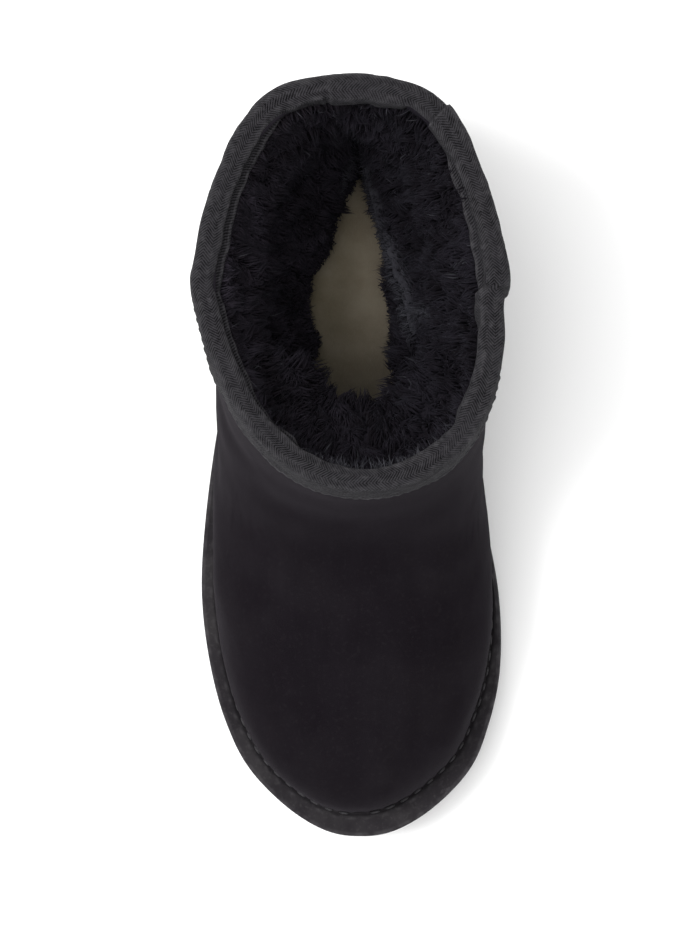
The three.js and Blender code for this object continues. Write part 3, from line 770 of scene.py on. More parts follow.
suede, tree, shader = finish(
    "blue-black suede", Roughness=0.92, Specular_IOR_Level=0.03, Sheen_Weight=0.03, Sheen_Roughness=0.5,
    Sheen_Tint=(0.62, 0.56, 0.66, 1),
)
napped = use(tree, nap)
hide = colours(tree, napped["Shade"], (0.0036, 0.0026, 0.0038), (0.0067, 0.0054, 0.0071))
rubbed = use(tree, worn_edges, Reach=0.05, Broken=210.0)["Mask"]
hide = tinted(tree, hide, rubbed, 0.3, (0.03, 0.027, 0.031))
dusty = use(tree, dust, Patches=30.0, Specks=700.0)["Mask"]
hide = tinted(tree, hide, dusty, 0.02, (0.2, 0.19, 0.19))
surface(tree, shader, hide, napped["Height"], 0.0002, 0.45)

turns = turns_of(UPPER_AROUND)
low_levels = np.linspace(0, 0.12, 22)
outer_levels = np.concatenate([low_levels, np.linspace(0.12, 1, 96)[1:]])
inner_levels = np.linspace(1, 0, 12)
outside, _ = suede_point(turns[None, :], outer_levels[:, None])
flesh, _ = suede_point(turns[None, :], inner_levels[:, None], -SUEDE)
flesh[-1, :, 2] = seat_height(flesh[-1, :, 1]) + GAP
rings = np.concatenate([outside, flesh])
upper = piece("upper_suede", rings, [loft_faces(len(rings), UPPER_AROUND, hoop=True)], suede)
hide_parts("upper")

# Two rows of stitches down each side seam.
suede_thread, tree, shader = finish("black sewing thread", Roughness=0.6, Specular_IOR_Level=0.25)
twisted = use(tree, twist, Plies=2600.0)["Height"]
yarn = colours(tree, span(tree, twisted, -1, 1), (0.014, 0.013, 0.016), (0.034, 0.032, 0.037))
surface(tree, shader, yarn, twisted, 0.00006, 0.6)


def stitch_dashes(points, pitch, dash):
    """Where stitches of even pitch begin and end along a line of points."""
    run = np.concatenate([[0], np.cumsum(np.linalg.norm(np.diff(points, axis=0), axis=1))])
    count = int(run[-1] / pitch)
    middle = (np.arange(count) + 0.5) * run[-1] / count
    ends = np.stack([middle - dash / 2, middle + dash / 2], 1)
    return np.interp(ends, run, np.arange(len(points)))


def suede_row(name, points, normals):
    """A row of stitches in the suede's own thread."""
    dashes = stitch_dashes(points, pitch=3.3, dash=2.3)
    return sewn(name, points, normals, dashes, 0.6, suede_thread, sides=6, steps=7)


def seam_row(name, side, behind, foot_height, top_height):
    """Stitches down one side of the upper, at a set distance behind the seam's edge."""
    heights = np.linspace(top_height, foot_height, 240)
    want = mix(SEAM_FOOT, SEAM_TOP, np.clip((heights - 28) / 110, 0, 1)) + behind
    low, high = np.full(heights.shape, 0.3), np.full(heights.shape, 2.9)
    for _ in range(26):
        middle = (low + high) / 2
        ahead = form_point(side * middle, level_at(side * middle, heights))[:, 1] < want
        low, high = np.where(ahead, middle, low), np.where(ahead, high, middle)
    row_turns = side * high
    points, normals = suede_point(row_turns % (2 * math.pi), level_at(row_turns, heights))
    return suede_row(name, points, normals)


for side, word in ((1, "medial"), (-1, "lateral")):
    for row, behind in (("edge", -2.0), ("inner", -5.6)):
        seam = seam_row(f"side_seam_{word}_{row}", side, behind, 30.0, 136.0)


# ----------------------------------------
# Fleece. The wool side of the same skin, navy-black and dense. It is pressed thin at the sole and
# under the binding and stands deep between them, hanging over the insole so that only a teardrop
# of felt shows. A felled lining seam runs down the big-toe side. The wool stands in locks.
# ----------------------------------------

WALL, COLLAR_WALL = 12.5, 5.4
FLEECE_OPENS, FLEECE_CLOSES, BINDING_OUTSIDE = 16.0, 30.0, 10.0
FLEECE_AROUND = 360
TEARDROP_CENTRE = np.array([1.5, 60.0])
# The felt that the wool leaves bare. at: distance behind the boot's middle. left, right: its edges.
TEARDROP = columns("at left right", [
    (30.5, 2.0, 6.0),
    (33.0, -3.6, 10.5),
    (39.0, -7.8, 14.0),
    (46.0, -11.9, 13.8),
    (56.0, -15.6, 14.2),
    (65.0, -14.4, 11.4),
    (80.0, -7.6, 9.8),
    (93.0, -3.6, 8.2),
    (106.0, 0.6, 7.0),
    (113.0, 2.6, 6.0),
])
HANGING = 2.0  # how far the locks reach past the face of the wool

teardrop_rim = np.concatenate([
    np.stack([TEARDROP["left"], TEARDROP["at"]], 1),
    np.stack([TEARDROP["right"], TEARDROP["at"]], 1)[::-1],
]) - TEARDROP_CENTRE
rim_order = np.argsort(np.arctan2(teardrop_rim[:, 1], teardrop_rim[:, 0]))
rim_angles = np.arctan2(teardrop_rim[:, 1], teardrop_rim[:, 0])[rim_order]
rim_radii = np.linalg.norm(teardrop_rim, axis=1)[rim_order]


def from_teardrop(points):
    """Distance outside the bare teardrop, and the way outward from its middle."""
    away = points[..., :2] - TEARDROP_CENTRE
    radius = np.linalg.norm(away, axis=-1)
    edge = np.interp(np.arctan2(away[..., 1], away[..., 0]), rim_angles, rim_radii, period=2 * math.pi)
    return radius - edge, away / radius[..., None]


def fleece_base(turn, level):
    """The face of the wool before its locks: the wall's depth in from the hide, then swelling
    over the insole at the sides and back, and down from the throat at the front."""
    turn, level = np.broadcast_arrays(np.asarray(turn, float), np.asarray(level, float))
    out = form_point(turn, level)
    above_insole = out[..., 2] - seat_height(out[..., 1]) - INSOLE_THICKNESS
    below_binding = collar_edge(turn)[..., 2] - BINDING_OUTSIDE - out[..., 2]
    opened = mix(FEATHER_WALL, WALL, smooth(above_insole / FLEECE_OPENS))
    depth = mix(COLLAR_WALL, opened, smooth(below_binding / FLEECE_CLOSES))
    face = out - form_normal(turn, level) * depth[..., None]
    foot = level < 1e-9
    face[..., 2] = np.where(foot, seat_height(face[..., 1]) + GAP, face[..., 2])
    above = face[..., 2] - seat_height(face[..., 1]) - GAP - INSOLE_THICKNESS
    short_of, away = from_teardrop(face)
    front = smooth((np.cos(turn) + 0.15) / 0.75)
    beside = smooth((above - 0.5) / 5) * (1 - smooth((above - 9) / 48))
    throat = smooth((above - 16) / 28) * (1 - smooth((above - 60) / 42))
    reach = np.minimum(np.maximum(short_of - HANGING, 0), mix(26.0, 33.0, front))
    pull = reach * mix(beside, throat, front)
    face[..., :2] -= away * pull[..., None]
    return face, above


def face_normals(grid):
    """Outward directions over rings of points that run round the boot."""
    around = np.roll(grid, -1, 1) - np.roll(grid, 1, 1)
    normal = np.cross(around, np.gradient(grid, axis=0))
    return normal / np.maximum(np.linalg.norm(normal, axis=-1, keepdims=True), 1e-9)


fleece_levels = np.concatenate([np.linspace(0, 0.12, 10), np.linspace(0.12, 1, 92)[1:]])
turns = turns_of(FLEECE_AROUND)
wool, above_insole = fleece_base(turns[None, :], fleece_levels[:, None])
inward = -face_normals(wool)
stands = smooth((above_insole - 1) / 6) * smooth((COLLAR_BACK - 8 - wool[..., 2]) / 14)
short_of, _ = from_teardrop(wool)
medial_side = smooth((wool[..., 0] - 2) / 8) * smooth((wool[..., 1] - 18) / 12) * (above_insole < 70)
seam_at = 6.0 + 0.13 * np.clip(92 - wool[..., 1], 0, 60)
round_tip = smooth((wool[..., 0] - 2 + 12 * smooth((wool[..., 1] - 92) / 8)) / 8)
on_seam = bell(short_of - seam_at, 2.0) * round_tip * (above_insole < 70) * smooth((wool[..., 1] - 44) / 5)
felled = 3.4 * on_seam - 2.0 * bell(short_of - seam_at + 4.4, 1.7) - 1.6 * bell(short_of - seam_at - 4.6, 1.8)
on_cross_seam = bell(wool[..., 1] - 56 + 0.35 * (wool[..., 0] - 24), 2.0)
on_cross_seam *= smooth((short_of - seam_at) / 3) * (1 - smooth((short_of - seam_at - 12) / 5)) * medial_side
cross_seam = 2.6 * on_cross_seam
worn_wool = np.clip(on_seam + on_cross_seam, 0, 1)
locks = 1.9 * lumps(wool, 15.0, 41) + 1.3 * lumps(wool, 7.0, 42) + 0.6 * lumps(wool, 3.2, 43)
wool = wool + inward * ((locks + felled * medial_side + cross_seam) * stands)[..., None]

fleece_wool, tree, shader = finish(
    "navy-black wool", Roughness=0.95, Specular_IOR_Level=0.03, Sheen_Weight=0.03, Sheen_Roughness=0.6,
    Sheen_Tint=(0.55, 0.53, 0.68, 1),
)
wool_place = node(tree, "TexCoord").outputs["Object"]
dyed = noise_of(tree, wool_place, 55.0, 4.0, 0.6)
curled = noise_of(tree, wool_place, 700.0, 4.0, 0.7)
deep = colours(tree, span(tree, dyed, 0.4, 0.68), (0.0046, 0.0036, 0.0048), (0.0084, 0.0072, 0.0100))
# Paler on the outer side, which makes up for lamps that leave that wall darker. It isn't the wool's own.
fade_and_painted_light = colours(tree, span(tree, dyed, 0.4, 0.68), (0.0110, 0.0090, 0.0114), (0.0200, 0.0172, 0.0230))
to_inner_side = node(tree, "SeparateXYZ", {0: wool_place}).outputs["X"]
deep = colours(tree, span(tree, to_inner_side, -0.03, 0.02), fade_and_painted_light, deep)
rubbed_wool = node(tree, "SeparateXYZ", {0: node(tree, "UVMap", uv_map="flat").outputs[0]}).outputs["X"]
deep = colours(tree, span(tree, rubbed_wool, 0.0002, 0.001), deep, (0.034, 0.034, 0.040))
deep = colours(tree, span(tree, curled, 0.5, 0.8, 0.0, 0.5), deep, (0.017, 0.0155, 0.021))
surface(tree, shader, deep, curled, 0.0015, 0.9)

back_levels = np.linspace(1, 0, 12)
backing, _ = suede_point(turns[None, :], back_levels[:, None], -SUEDE - 0.2)
backing[-1, :, 2] = seat_height(backing[-1, :, 1]) + GAP
rings = np.concatenate([backing[::-1], wool[::-1]])
flat = np.zeros(rings.shape[:2] + (2,))
flat[len(backing):, :, 0] = worn_wool[::-1]
fleece = piece("fleece_lining", rings, [loft_faces(len(rings), FLEECE_AROUND, hoop=True)], fleece_wool, flat)

# The locks: thin tapered curls that lean together towards the tip of their lock.
lock_wool, tree, shader = finish(
    "navy-black wool locks", Roughness=0.9, Specular_IOR_Level=0.05, Sheen_Weight=0.03, Sheen_Roughness=0.5,
    Sheen_Tint=(0.6, 0.58, 0.74, 1),
)
lock_place = node(tree, "TexCoord").outputs["Object"]
strand = node(tree, "SeparateXYZ", {0: node(tree, "UVMap", uv_map="flat").outputs[0]}).outputs
to_tip, rubbed_wool = strand["Y"], span(tree, strand["X"], 0.0, 0.001)
own = node(tree, "NewGeometry").outputs["Random Per Island"]
dyed = noise_of(tree, lock_place, 60.0, 4.0, 0.6)
deep = colours(tree, span(tree, dyed, 0.4, 0.66), (0.0032, 0.0025, 0.0034), (0.0096, 0.0084, 0.0116))
# Paler on the outer side, which makes up for lamps that leave that wall darker. It isn't the wool's own.
fade_and_painted_light = colours(tree, span(tree, dyed, 0.4, 0.66), (0.0096, 0.0078, 0.0100), (0.0270, 0.0232, 0.0312))
to_inner_side = node(tree, "SeparateXYZ", {0: lock_place}).outputs["X"]
deep = colours(tree, span(tree, to_inner_side, -0.03, 0.02), fade_and_painted_light, deep)
tipped = sum_of(tree, "MULTIPLY", span(tree, to_tip, 0.0004, 0.001), span(tree, own, 0.0, 1.0, 0.25, 1.0))
deep = tinted(tree, deep, tipped, 0.4, (0.0150, 0.0132, 0.0185))
deep = tinted(tree, deep, rubbed_wool, span(tree, own, 0.0, 1.0, 0.5, 1.0), (0.050, 0.051, 0.060))
speck = span(tree, own, 0.994, 0.996)
tree.links.new(tinted(tree, deep, speck, 0.35, (0.07, 0.072, 0.08)), shader["Base Color"])


def lock_strands(name, grid, chance, count, length, thickness, seed, material, rubbed, clump=5.0, droop=0.25):
    """Strands rooted on a grid of points: each a three-sided taper with one bend, gathered towards the
    tip of the nearest lock. chance: how likely each quad is to be chosen, for its area. rubbed: where
    the wool is worn short and pale. clump: about how far apart the locks stand. droop: how much they
    hang, or stand up where it is below zero."""
    random = np.random.default_rng(seed)
    rows, around = grid.shape[:2]
    quads = loft_faces(rows, around)
    flat_grid = grid.reshape(-1, 3)
    corner = flat_grid[quads]
    spread = np.cross(corner[:, 2] - corner[:, 0], corner[:, 3] - corner[:, 1]) / 2
    area = np.linalg.norm(spread, axis=1)
    weight = area * chance[:-1].reshape(-1)
    chosen = random.choice(len(quads), count, p=weight / weight.sum())
    u, v = random.uniform(0, 1, (2, count, 1))
    corner = corner[chosen]
    root = mix(mix(corner[:, 0], corner[:, 1], u), mix(corner[:, 3], corner[:, 2], u), v)
    normal = -spread[chosen] / area[chosen][:, None]
    leaders = random.choice(count, max(8, int(weight.sum() / clump**2)), replace=False)
    tree_of_locks = kdtree.KDTree(len(leaders))
    for i, leader in enumerate(leaders):
        tree_of_locks.insert(root[leader], i)
    tree_of_locks.balance()
    nearest = leaders[[tree_of_locks.find(spot)[1] for spot in root]]
    worn = rubbed[:-1].reshape(-1)[chosen]
    sizes = random.uniform(0.75, 1.2, count) * (1 - 0.62 * worn)
    lean = random.normal(0, 0.35, (count, 3))
    hang = np.array([0, 0, -droop])
    tip_of_lock = root + normal * length * 0.9 + (lean + hang) * length
    gathered = mix(root + normal * length * 0.8 + hang * length, tip_of_lock[nearest], 0.62)
    near_felt = smooth((from_teardrop(root)[0] - HANGING + 1) / 7) * 0.5 + 0.5
    stray = random.normal(0, 0.09, (count, 3)) * length
    own_tip = root + (gathered - root) * (sizes * near_felt)[:, None] + stray
    bend = root + normal * length * 0.5 + random.normal(0, 0.2, (count, 3)) * length
    share = np.array([0.0, 0.55, 1.0])[None, :, None]
    centre = root[:, None] * (1 - share) ** 2 + bend[:, None] * 2 * share * (1 - share)
    centre = centre + own_tip[:, None] * share**2
    centre[:, 0] -= normal * 0.6
    ahead = np.gradient(centre, axis=1)[:, :2]
    ahead /= np.linalg.norm(ahead, axis=-1, keepdims=True)
    aside = np.cross(ahead, random.normal(0, 1, (count, 1, 3)))
    aside /= np.linalg.norm(aside, axis=-1, keepdims=True)
    other = np.cross(ahead, aside)
    angle = turns_of(3)
    thick = thickness / 2 * np.array([1.0, 0.8])[None, :, None, None] * sizes[:, None, None, None]
    across = np.cos(angle)[:, None] * aside[:, :, None] + np.sin(angle)[:, None] * other[:, :, None]
    points = np.concatenate([(centre[:, :2, None] + across * thick).reshape(count, 6, 3), centre[:, 2:]], 1)
    start = np.arange(count)[:, None, None] * 7
    walls = (loft_faces(2, 3) + start).reshape(-1, 4)
    points_of = np.array([[3, 4, 6], [4, 5, 6], [5, 3, 6], [2, 1, 0]])
    along_strand = np.repeat([0.0, 0.55, 1.0], [3, 3, 1])
    flat = np.stack([np.repeat(worn[:, None], 7, 1), np.broadcast_to(along_strand, (count, 7))], -1)
    return piece(name, points, [walls, (points_of + start).reshape(-1, 3)], material, flat)


below_tape = smooth((COLLAR_BACK - 4.5 - wool[..., 2]) / 4)
seen = (1 - 0.45 * worn_wool) * smooth((above_insole - 2) / 3) * (wool[..., 1] > -22) * below_tape
toe_side = smooth((42 - wool[..., 1]) / 2 + 0.5)
heel_side = smooth((wool[..., 1] - 84) / 2 + 0.5)
LOCKS_EACH, LOCK_LENGTH, LOCK_THICKNESS = 14000, 6.0, 0.66
parts = [("front", toe_side, 51), ("middle", 1 - toe_side - heel_side, 52), ("back", heel_side, 53)]
for part, share, seed in parts:
    sizes = (LOCKS_EACH, LOCK_LENGTH, LOCK_THICKNESS)
    made = lock_strands(f"fleece_locks_{part}", wool, seen * share, *sizes, seed, lock_wool, worn_wool)

# Pale loose ends of wool that stand up along the binding's inner edge, at the front above all.
loose_wool, tree, shader = finish("pale loose wool", Roughness=0.9, Specular_IOR_Level=0.05)
own = node(tree, "NewGeometry").outputs["Random Per Island"]
tree.links.new(colours(tree, own, (0.014, 0.014, 0.018), (0.060, 0.060, 0.068)), shader["Base Color"])
at_edge = bell(collar_edge(turns[None, :])[..., 2] - wool[..., 2] - 8.0, 2.0)
at_edge = at_edge * (0.012 + bell(np.degrees((turns + math.pi) % (2 * math.pi) - math.pi) - 4, 26)[None, :])
loose = lock_strands(
    "fleece_loose_ends", wool, at_edge, count=260, length=5.0, thickness=0.36, seed=55,
    material=loose_wool, rubbed=worn_wool, clump=0.9, droop=-0.35,
)


# ----------------------------------------
# Heel counter. A stiffened patch of the same suede glued over the heel and sewn twice along its
# upper edge. All its edges are skived thin.
# ----------------------------------------

COUNTER_THICKNESS, COUNTER_REACH = 1.4, 74.0
HEEL = LENGTH / 2

counter_foot = seat_height(np.array(HEEL)) + WELT_THICKNESS + 3 * GAP
# Its front edge as seen from the side: level at the back, then down in one sweep to the welt.
sweep = np.linspace(0, 1, 200)[:, None]
swept = (
    np.array([HEEL, COUNTER_TOP]) * (1 - sweep) ** 3
    + np.array([HEEL - 0.42 * COUNTER_REACH, COUNTER_TOP]) * 3 * sweep * (1 - sweep) ** 2
    + np.array([HEEL - 0.82 * COUNTER_REACH, 0.8 * COUNTER_TOP]) * 3 * sweep**2 * (1 - sweep)
    + np.array([HEEL - COUNTER_REACH, counter_foot]) * sweep**3
)


def counter_edge_level(turn, inset=0.0):
    """The level, at each turn, of a line that runs this far inside the patch's upper edge."""
    ahead = np.gradient(swept, axis=0)
    ahead /= np.linalg.norm(ahead, axis=1, keepdims=True)
    line = (swept + inset * np.stack([-ahead[:, 1], ahead[:, 0]], 1))[::-1]
    low = level_at(turn, np.full(np.shape(turn), counter_foot))
    high = np.full(np.shape(turn), 0.75)
    for _ in range(26):
        middle = (low + high) / 2
        spot = form_point(turn, middle)
        under = spot[..., 2] < np.interp(spot[..., 1], line[:, 0], line[:, 1])
        low, high = np.where(under, middle, low), np.where(under, high, middle)
    return high


front_turn = 2.0
for _ in range(40):
    spot = form_point(front_turn, level_at(np.array(front_turn), counter_foot))
    front_turn += (HEEL - COUNTER_REACH + 1.5 - spot[1]) * 0.004
PATCH_AROUND, PATCH_ROWS = 320, 60
back_turns = np.linspace(front_turn, 2 * math.pi - front_turn, PATCH_AROUND)
foot_level = level_at(back_turns, np.full(back_turns.shape, counter_foot))
edge_level = counter_edge_level(back_turns)
across = np.linspace(0, 1, PATCH_ROWS)
patch_levels = mix(foot_level, edge_level, across[:, None])
patch_turns = np.broadcast_to(back_turns, patch_levels.shape)
under_patch, patch_out = suede_point(patch_turns, patch_levels)
steps_up = np.linalg.norm(np.diff(under_patch, axis=0), axis=-1)
run_up = np.concatenate([np.zeros((1, PATCH_AROUND)), np.cumsum(steps_up, 0)])
to_edge = run_up[-1] - run_up
column = np.arange(PATCH_AROUND)
ends = np.minimum(column, PATCH_AROUND - 1 - column)[None, :] * 0.95
skived = smooth(np.minimum(to_edge, ends) / 2.6) * smooth(run_up / 1.2)
sewn_down = 0.35 * bell(to_edge - 3.2, 0.9) + 0.3 * bell(to_edge - 6.6, 0.9)
proud = mix(0.12, COUNTER_THICKNESS, skived**0.6) - sewn_down * smooth(ends / 4)
over_patch = under_patch + patch_out * proud[..., None]
under_patch = under_patch - patch_out * 0.15
count = patch_levels.size
sheet = loft_faces(PATCH_ROWS, PATCH_AROUND, closed=False)
shell = [sheet, sheet[:, ::-1] + count]
border = np.concatenate([
    column,
    PATCH_AROUND - 1 + PATCH_AROUND * np.arange(1, PATCH_ROWS),
    PATCH_AROUND * (PATCH_ROWS - 1) + column[-2::-1],
    PATCH_AROUND * np.arange(PATCH_ROWS - 2, 0, -1),
])
beside = np.roll(border, -1)
shell.append(np.stack([border, border + count, beside + count, beside], -1))
counter_suede, tree, shader = finish(
    "counter suede", Roughness=0.92, Specular_IOR_Level=0.03, Sheen_Weight=0.03, Sheen_Roughness=0.5,
    Sheen_Tint=(0.62, 0.56, 0.66, 1),
)
napped = use(tree, nap, Patches=34.0, Brushing=150.0)
hide = colours(tree, napped["Shade"], (0.0039, 0.0029, 0.0041), (0.0068, 0.0055, 0.0072))
rubbed = use(tree, worn_edges, Reach=0.04, Broken=260.0)["Mask"]
hide = tinted(tree, hide, rubbed, 0.4, (0.034, 0.03, 0.035))
surface(tree, shader, hide, napped["Height"], 0.0002, 0.45)
counter = piece("counter_patch", np.concatenate([over_patch, under_patch]), shell, counter_suede)
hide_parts("heel_counter")

row_turns = np.linspace(front_turn, 2 * math.pi - front_turn, 1200)
for row, inset in (("edge", 2.8), ("inner", 6.2)):
    level = counter_edge_level(row_turns, inset)
    on_patch = level > level_at(row_turns, np.full(row_turns.shape, counter_foot)) + 0.006
    points, normals = suede_point(row_turns[on_patch], level[on_patch], COUNTER_THICKNESS - 0.25)
    rowed = suede_row(f"counter_stitches_{row}", points, normals)


# ----------------------------------------
# Collar binding. Charcoal herringbone tape folded over the raw edge of the skin and sewn through
# below the edge. Its ends lap at the inner back, the upper end cut off square.
# ----------------------------------------

TAPE = 1.3
TAPE_AROUND = 720
BINDING_INSIDE = 7.0
LAP_END, LAP_LENGTH, LAP_TAPER, LAP_RISE = 146.0, 17.0, 8.0, 0.9
INNER_FACE = -COLLAR_WALL - GAP


def rounded_off(corners, times):
    """Corners of an open line cut off again and again, which rounds them."""
    line = np.array(corners, float)
    for _ in range(times):
        near, far = mix(line[:-1], line[1:], 0.25), mix(line[:-1], line[1:], 0.75)
        line = np.concatenate([line[:1], np.stack([near, far], 1).reshape(-1, 2), line[-1:]])
    return line


def evenly(line, count):
    run = np.concatenate([[0], np.cumsum(np.linalg.norm(np.diff(line, axis=0), axis=1))])
    at = np.linspace(0, run[-1], count)
    return np.stack([np.interp(at, run, line[:, 0]), np.interp(at, run, line[:, 1])], 1), at


# out: from the skin's outer face. up: from its edge.
fold_line = [
    (INNER_FACE - TAPE + 0.5, -BINDING_INSIDE),
    (INNER_FACE - TAPE - 0.1, -1.6),
    (INNER_FACE - TAPE + 0.4, 1.1),
    (-3.2, 2.1),
    (0.6, 1.5),
    (TAPE + GAP + 0.1, -1.6),
    (TAPE + GAP, -BINDING_OUTSIDE),
]
tape_face, tape_across = evenly(rounded_off(fold_line, 3), 40)
tape_ahead = np.gradient(tape_face, axis=0)
tape_ahead /= np.linalg.norm(tape_ahead, axis=1, keepdims=True)
tape_out = np.stack([-tape_ahead[:, 1], tape_ahead[:, 0]], 1)

turns = turns_of(TAPE_AROUND)
collar_run = np.concatenate([[0], np.cumsum(np.linalg.norm(np.diff(collar_edge(turns), axis=0), axis=1))])
past_cut = LAP_END - np.degrees(turns)
lap = np.where((past_cut > 0) & (past_cut < LAP_LENGTH), np.minimum(1, past_cut / 0.5), 0)
lap = lap * smooth((LAP_LENGTH - past_cut) / LAP_TAPER)
swell = collar_swell(turns)
# At the back the lining is sewn flat for a short way, so the tape's inner edge runs straight there.
back_flat = smooth((np.abs(np.degrees(turns) - 174) - 15) / 3)


def tape_ring(out, up, cross, face_out, lifted):
    """The tape's face round the collar at one place of its fold."""
    edge = collar_edge(turns)
    degrees = np.degrees(turns)
    legs = smooth(np.abs(cross - 0.47) / 0.3)
    # A small crease across the tape's inner half, just past the middle of the back.
    creased = 0.35 * bell(degrees - 192.0, 2.2) - 0.8 * bell(degrees - 188.5, 1.1)
    creased = creased * (1 - smooth((cross - 0.34) / 0.12))
    # Along the outer side, and for a shorter way at the big-toe side, the foot of the inner leg
    # stands off the lining and shows as a second edge.
    lip = smooth((degrees - 205) / 12) * (1 - smooth((degrees - 325) / 14))
    lip = (lip + smooth((degrees - 84) / 10) * (1 - smooth((degrees - 128) / 6))) * 1.9
    lip = lip * (1 - smooth((cross - 0.11) / 0.06)) - 0.35 * lip * bell(cross - 0.2, 0.05)
    ripple = 0.42 * lumps(edge + (0, 0, 40 * cross), 9.0, 61)
    ripple = ripple + 0.2 * lumps(edge + (0, 0, 60 * cross), 3.4, 62)
    drawn = 0.18 * np.sin(collar_run / 3.4 * 2 * math.pi) * bell((cross - 0.965) * 30, 1.6)
    move = lap * LAP_RISE + ripple + creased + drawn * lifted
    out_now = out + face_out[0] * move + swell * 0.9
    uneven = 1.25 * lumps(edge, 15.0, 63) + 0.8 * lumps(edge, 5.5, 65)
    inner_lean = (1 - smooth((cross - 0.1) / 0.35)) * (1.3 * (1 - back_flat) - uneven) + lip
    out_now = out_now - inner_lean
    up_now = up + face_out[1] * move + 0.7 * lumps(edge, 30.0, 64) * legs * (up < -5)
    reach = np.clip(level_at(turns, edge[:, 2] + np.minimum(up_now, 0)), 0, 1)
    base, normal = form_point(turns, reach), form_normal(turns, reach)
    ring = base + normal * out_now[:, None]
    ring[:, 2] = edge[:, 2] + up_now if up > -0.5 else ring[:, 2]
    return ring


crosses = np.linspace(0, 1, len(tape_face))
outer = [tape_ring(*tape_face[i], crosses[i], tape_out[i], 1.0) for i in range(len(tape_face))]
under_face = tape_face - tape_out * (TAPE - 0.15)
kept = range(0, len(tape_face), 3)
inner = [tape_ring(*under_face[i], crosses[i], tape_out[i] * 0.5, 0.0) for i in kept][::-1]
rings = np.array(outer + inner)
flat_across = np.concatenate([tape_across, tape_across[::3][::-1]])
collar_length = collar_run[-1] * TAPE_AROUND / (TAPE_AROUND - 1)
laid_run = (collar_run - np.interp(math.radians(LAP_END), turns, collar_run)) % collar_length
flat = np.stack(np.broadcast_arrays(laid_run[None, :], flat_across[:, None]), -1)

tape_cloth, tree, shader = finish(
    "charcoal herringbone tape", Roughness=0.85, Specular_IOR_Level=0.08,
    Sheen_Weight=0.03, Sheen_Roughness=0.5, Sheen_Tint=(0.75, 0.74, 0.8, 1),
)
laid = node(tree, "SeparateXYZ", {0: node(tree, "UVMap", uv_map="flat").outputs[0]}).outputs
zigzag = node(tree, "Math", {0: laid["Y"], 1: 0.0026}, operation="PINGPONG").outputs[0]
slant = sum_of(tree, "MULTIPLY", sum_of(tree, "ADD", laid["X"], zigzag), 2 * math.pi / 0.0011)
ribs = sum_of(tree, "SINE", slant, 0.0)
picks = sum_of(tree, "SINE", sum_of(tree, "MULTIPLY", laid["Y"], 2 * math.pi / 0.00055), 0.0)
woven = sum_of(tree, "MULTIPLY_ADD", picks, 0.35, ribs)
tape_place = node(tree, "TexCoord").outputs["Object"]
slubs = noise_of(tree, tape_place, 760.0, 4.0, 0.75)
fade_and_painted_light = noise_of(tree, tape_place, 60.0, 4.0, 0.6)
yarn = sum_of(tree, "MULTIPLY_ADD", slubs, 1.7, sum_of(tree, "MULTIPLY", woven, 0.34))
cloth = colours(tree, span(tree, yarn, 0.56, 1.16), (0.0005, 0.0005, 0.0008), (0.0240, 0.0228, 0.0258))
cloth = colours(tree, span(tree, fade_and_painted_light, 0.45, 0.75, 0.0, 0.35), cloth, (0.02, 0.019, 0.022))
rubbed = use(tree, worn_edges, Reach=0.05, Broken=420.0)["Mask"]
cloth = tinted(tree, cloth, rubbed, 0.6, (0.085, 0.082, 0.088))
surface(tree, shader, cloth, yarn, 0.00035, 0.8)
tape_faces = [loft_faces(len(rings), TAPE_AROUND, hoop=True)[:, ::-1]]
binding = piece("binding_tape_folded", rings, tape_faces, tape_cloth, flat)
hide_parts("collar_binding")

# The row of stitches that holds it, just above the foot of its outer leg.
row = int(0.93 * (len(tape_face) - 1))
line = np.concatenate([outer[row], outer[row][:1]])
line_out = form_normal(turns, 0.9)
line_out = np.concatenate([line_out, line_out[:1]])
dashes = stitch_dashes(line, pitch=3.4, dash=2.2)
sunk = line - line_out * 0.1
held = sewn("binding_stitches", sunk, line_out, dashes, 0.4, suede_thread, rise=0.0, sides=6, steps=7)


# ----------------------------------------
# The floor, the light and the camera: a plain pale floor, soft light from above, from the outer side
# and weakly from a wall opposite, an even room, and a view from above with the toe towards the viewer.
# ----------------------------------------

low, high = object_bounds()
middle = (low + high) / 2

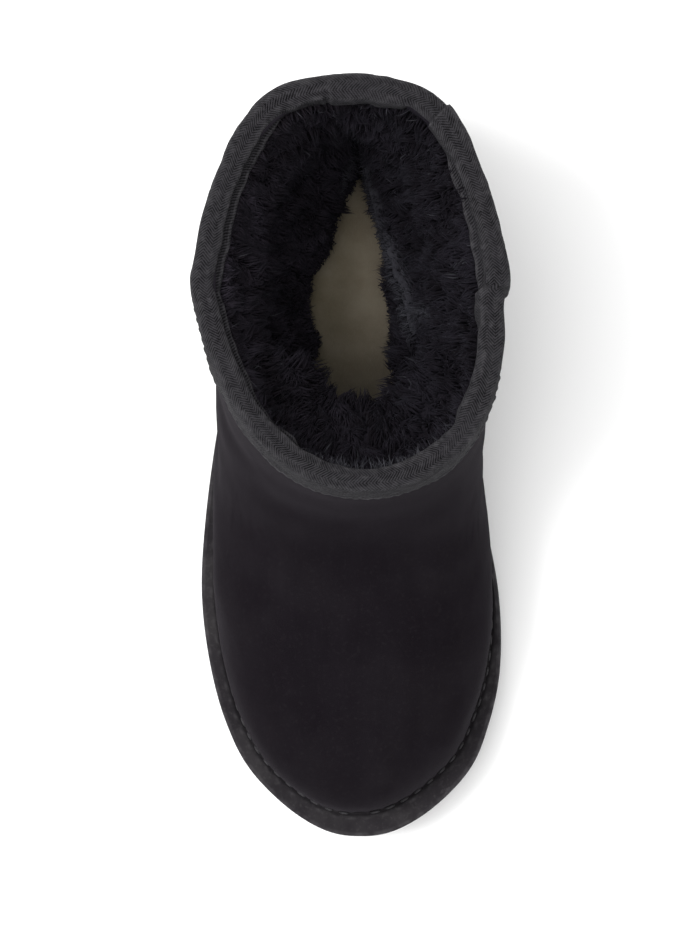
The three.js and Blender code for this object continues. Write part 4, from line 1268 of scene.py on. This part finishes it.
floor_mesh = bpy.data.meshes.new("floor")
reach = 8.0
floor_corners = [(-reach, -reach, 0), (reach, -reach, 0), (reach, reach, 0), (-reach, reach, 0)]
floor_mesh.from_pydata(floor_corners, [], [(0, 1, 2, 3)])
floor = bpy.data.objects.new("floor", floor_mesh)
bpy.context.scene.collection.objects.link(floor)
floor_paint, tree, shader = finish("pale floor", Roughness=0.9, Specular_IOR_Level=0.1)
patchy = noise_of(tree, node(tree, "TexCoord").outputs["Object"], 3.0, 3.0)
tree.links.new(colours(tree, patchy, (0.9, 0.9, 0.898), (0.92, 0.92, 0.918)), shader["Base Color"])
floor_mesh.materials.append(floor_paint)
floor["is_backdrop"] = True


def soft_light(name, place, size, power):
    lamp = bpy.data.lights.new(name, "AREA")
    lamp.shape, lamp.size, lamp.energy = "DISK", size, power
    held = bpy.data.objects.new(name, lamp)
    held.location = place
    held.rotation_euler = (middle - Vector(place)).to_track_quat("-Z", "Y").to_euler()
    bpy.context.scene.collection.objects.link(held)


soft_light("ceiling", (-0.25, 0.1, 2.4), 2.0, 46.0)
soft_light("softbox", (-0.9, 0.12, 2.0), 0.8, 27.0)
soft_light("window", (-1.6, 0.1, 0.6), 0.7, 5.0)
soft_light("wall", (1.7, -0.9, 0.9), 1.2, 5.0)

ROOM_LIGHT = 0.68
room = bpy.data.worlds.new("room")
room.use_nodes = True
sky = room.node_tree.nodes["Background"].inputs
sky["Color"].default_value = (1.0, 1.0, 1.0, 1)
seen_directly = node(room.node_tree, "LightPath").outputs["Is Camera Ray"]
room.node_tree.links.new(span(room.node_tree, seen_directly, 0, 1, ROOM_LIGHT, 0.93), sky["Strength"])
bpy.context.scene.world = room
bpy.context.scene.view_settings.view_transform = "Standard"

CAMERA_HEIGHT = 1.5
CAMERA_ASIDE = 0.0688
FRAME_SHARE = 0.82  # of the picture's height that the boot fills
camera = bpy.data.cameras.new("camera")
camera.sensor_width = 36.0
camera.lens = camera.sensor_width * (CAMERA_HEIGHT - middle.z) * FRAME_SHARE / (high.y - low.y)
viewer = bpy.data.objects.new("camera", camera)
viewer.location = (CAMERA_ASIDE, middle.y - 0.002, CAMERA_HEIGHT)
back = (viewer.location - middle).normalized()
right = Vector((0, 1, 0)).cross(back).normalized()
viewer.rotation_mode = "QUATERNION"
viewer.rotation_quaternion = Matrix((right, back.cross(right), back)).transposed().to_quaternion()
bpy.context.scene.collection.objects.link(viewer)
bpy.context.scene.camera = viewer

sizes = {"cad": [list(corner) for corner in cad_box], "visual": [list(corner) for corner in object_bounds()]}
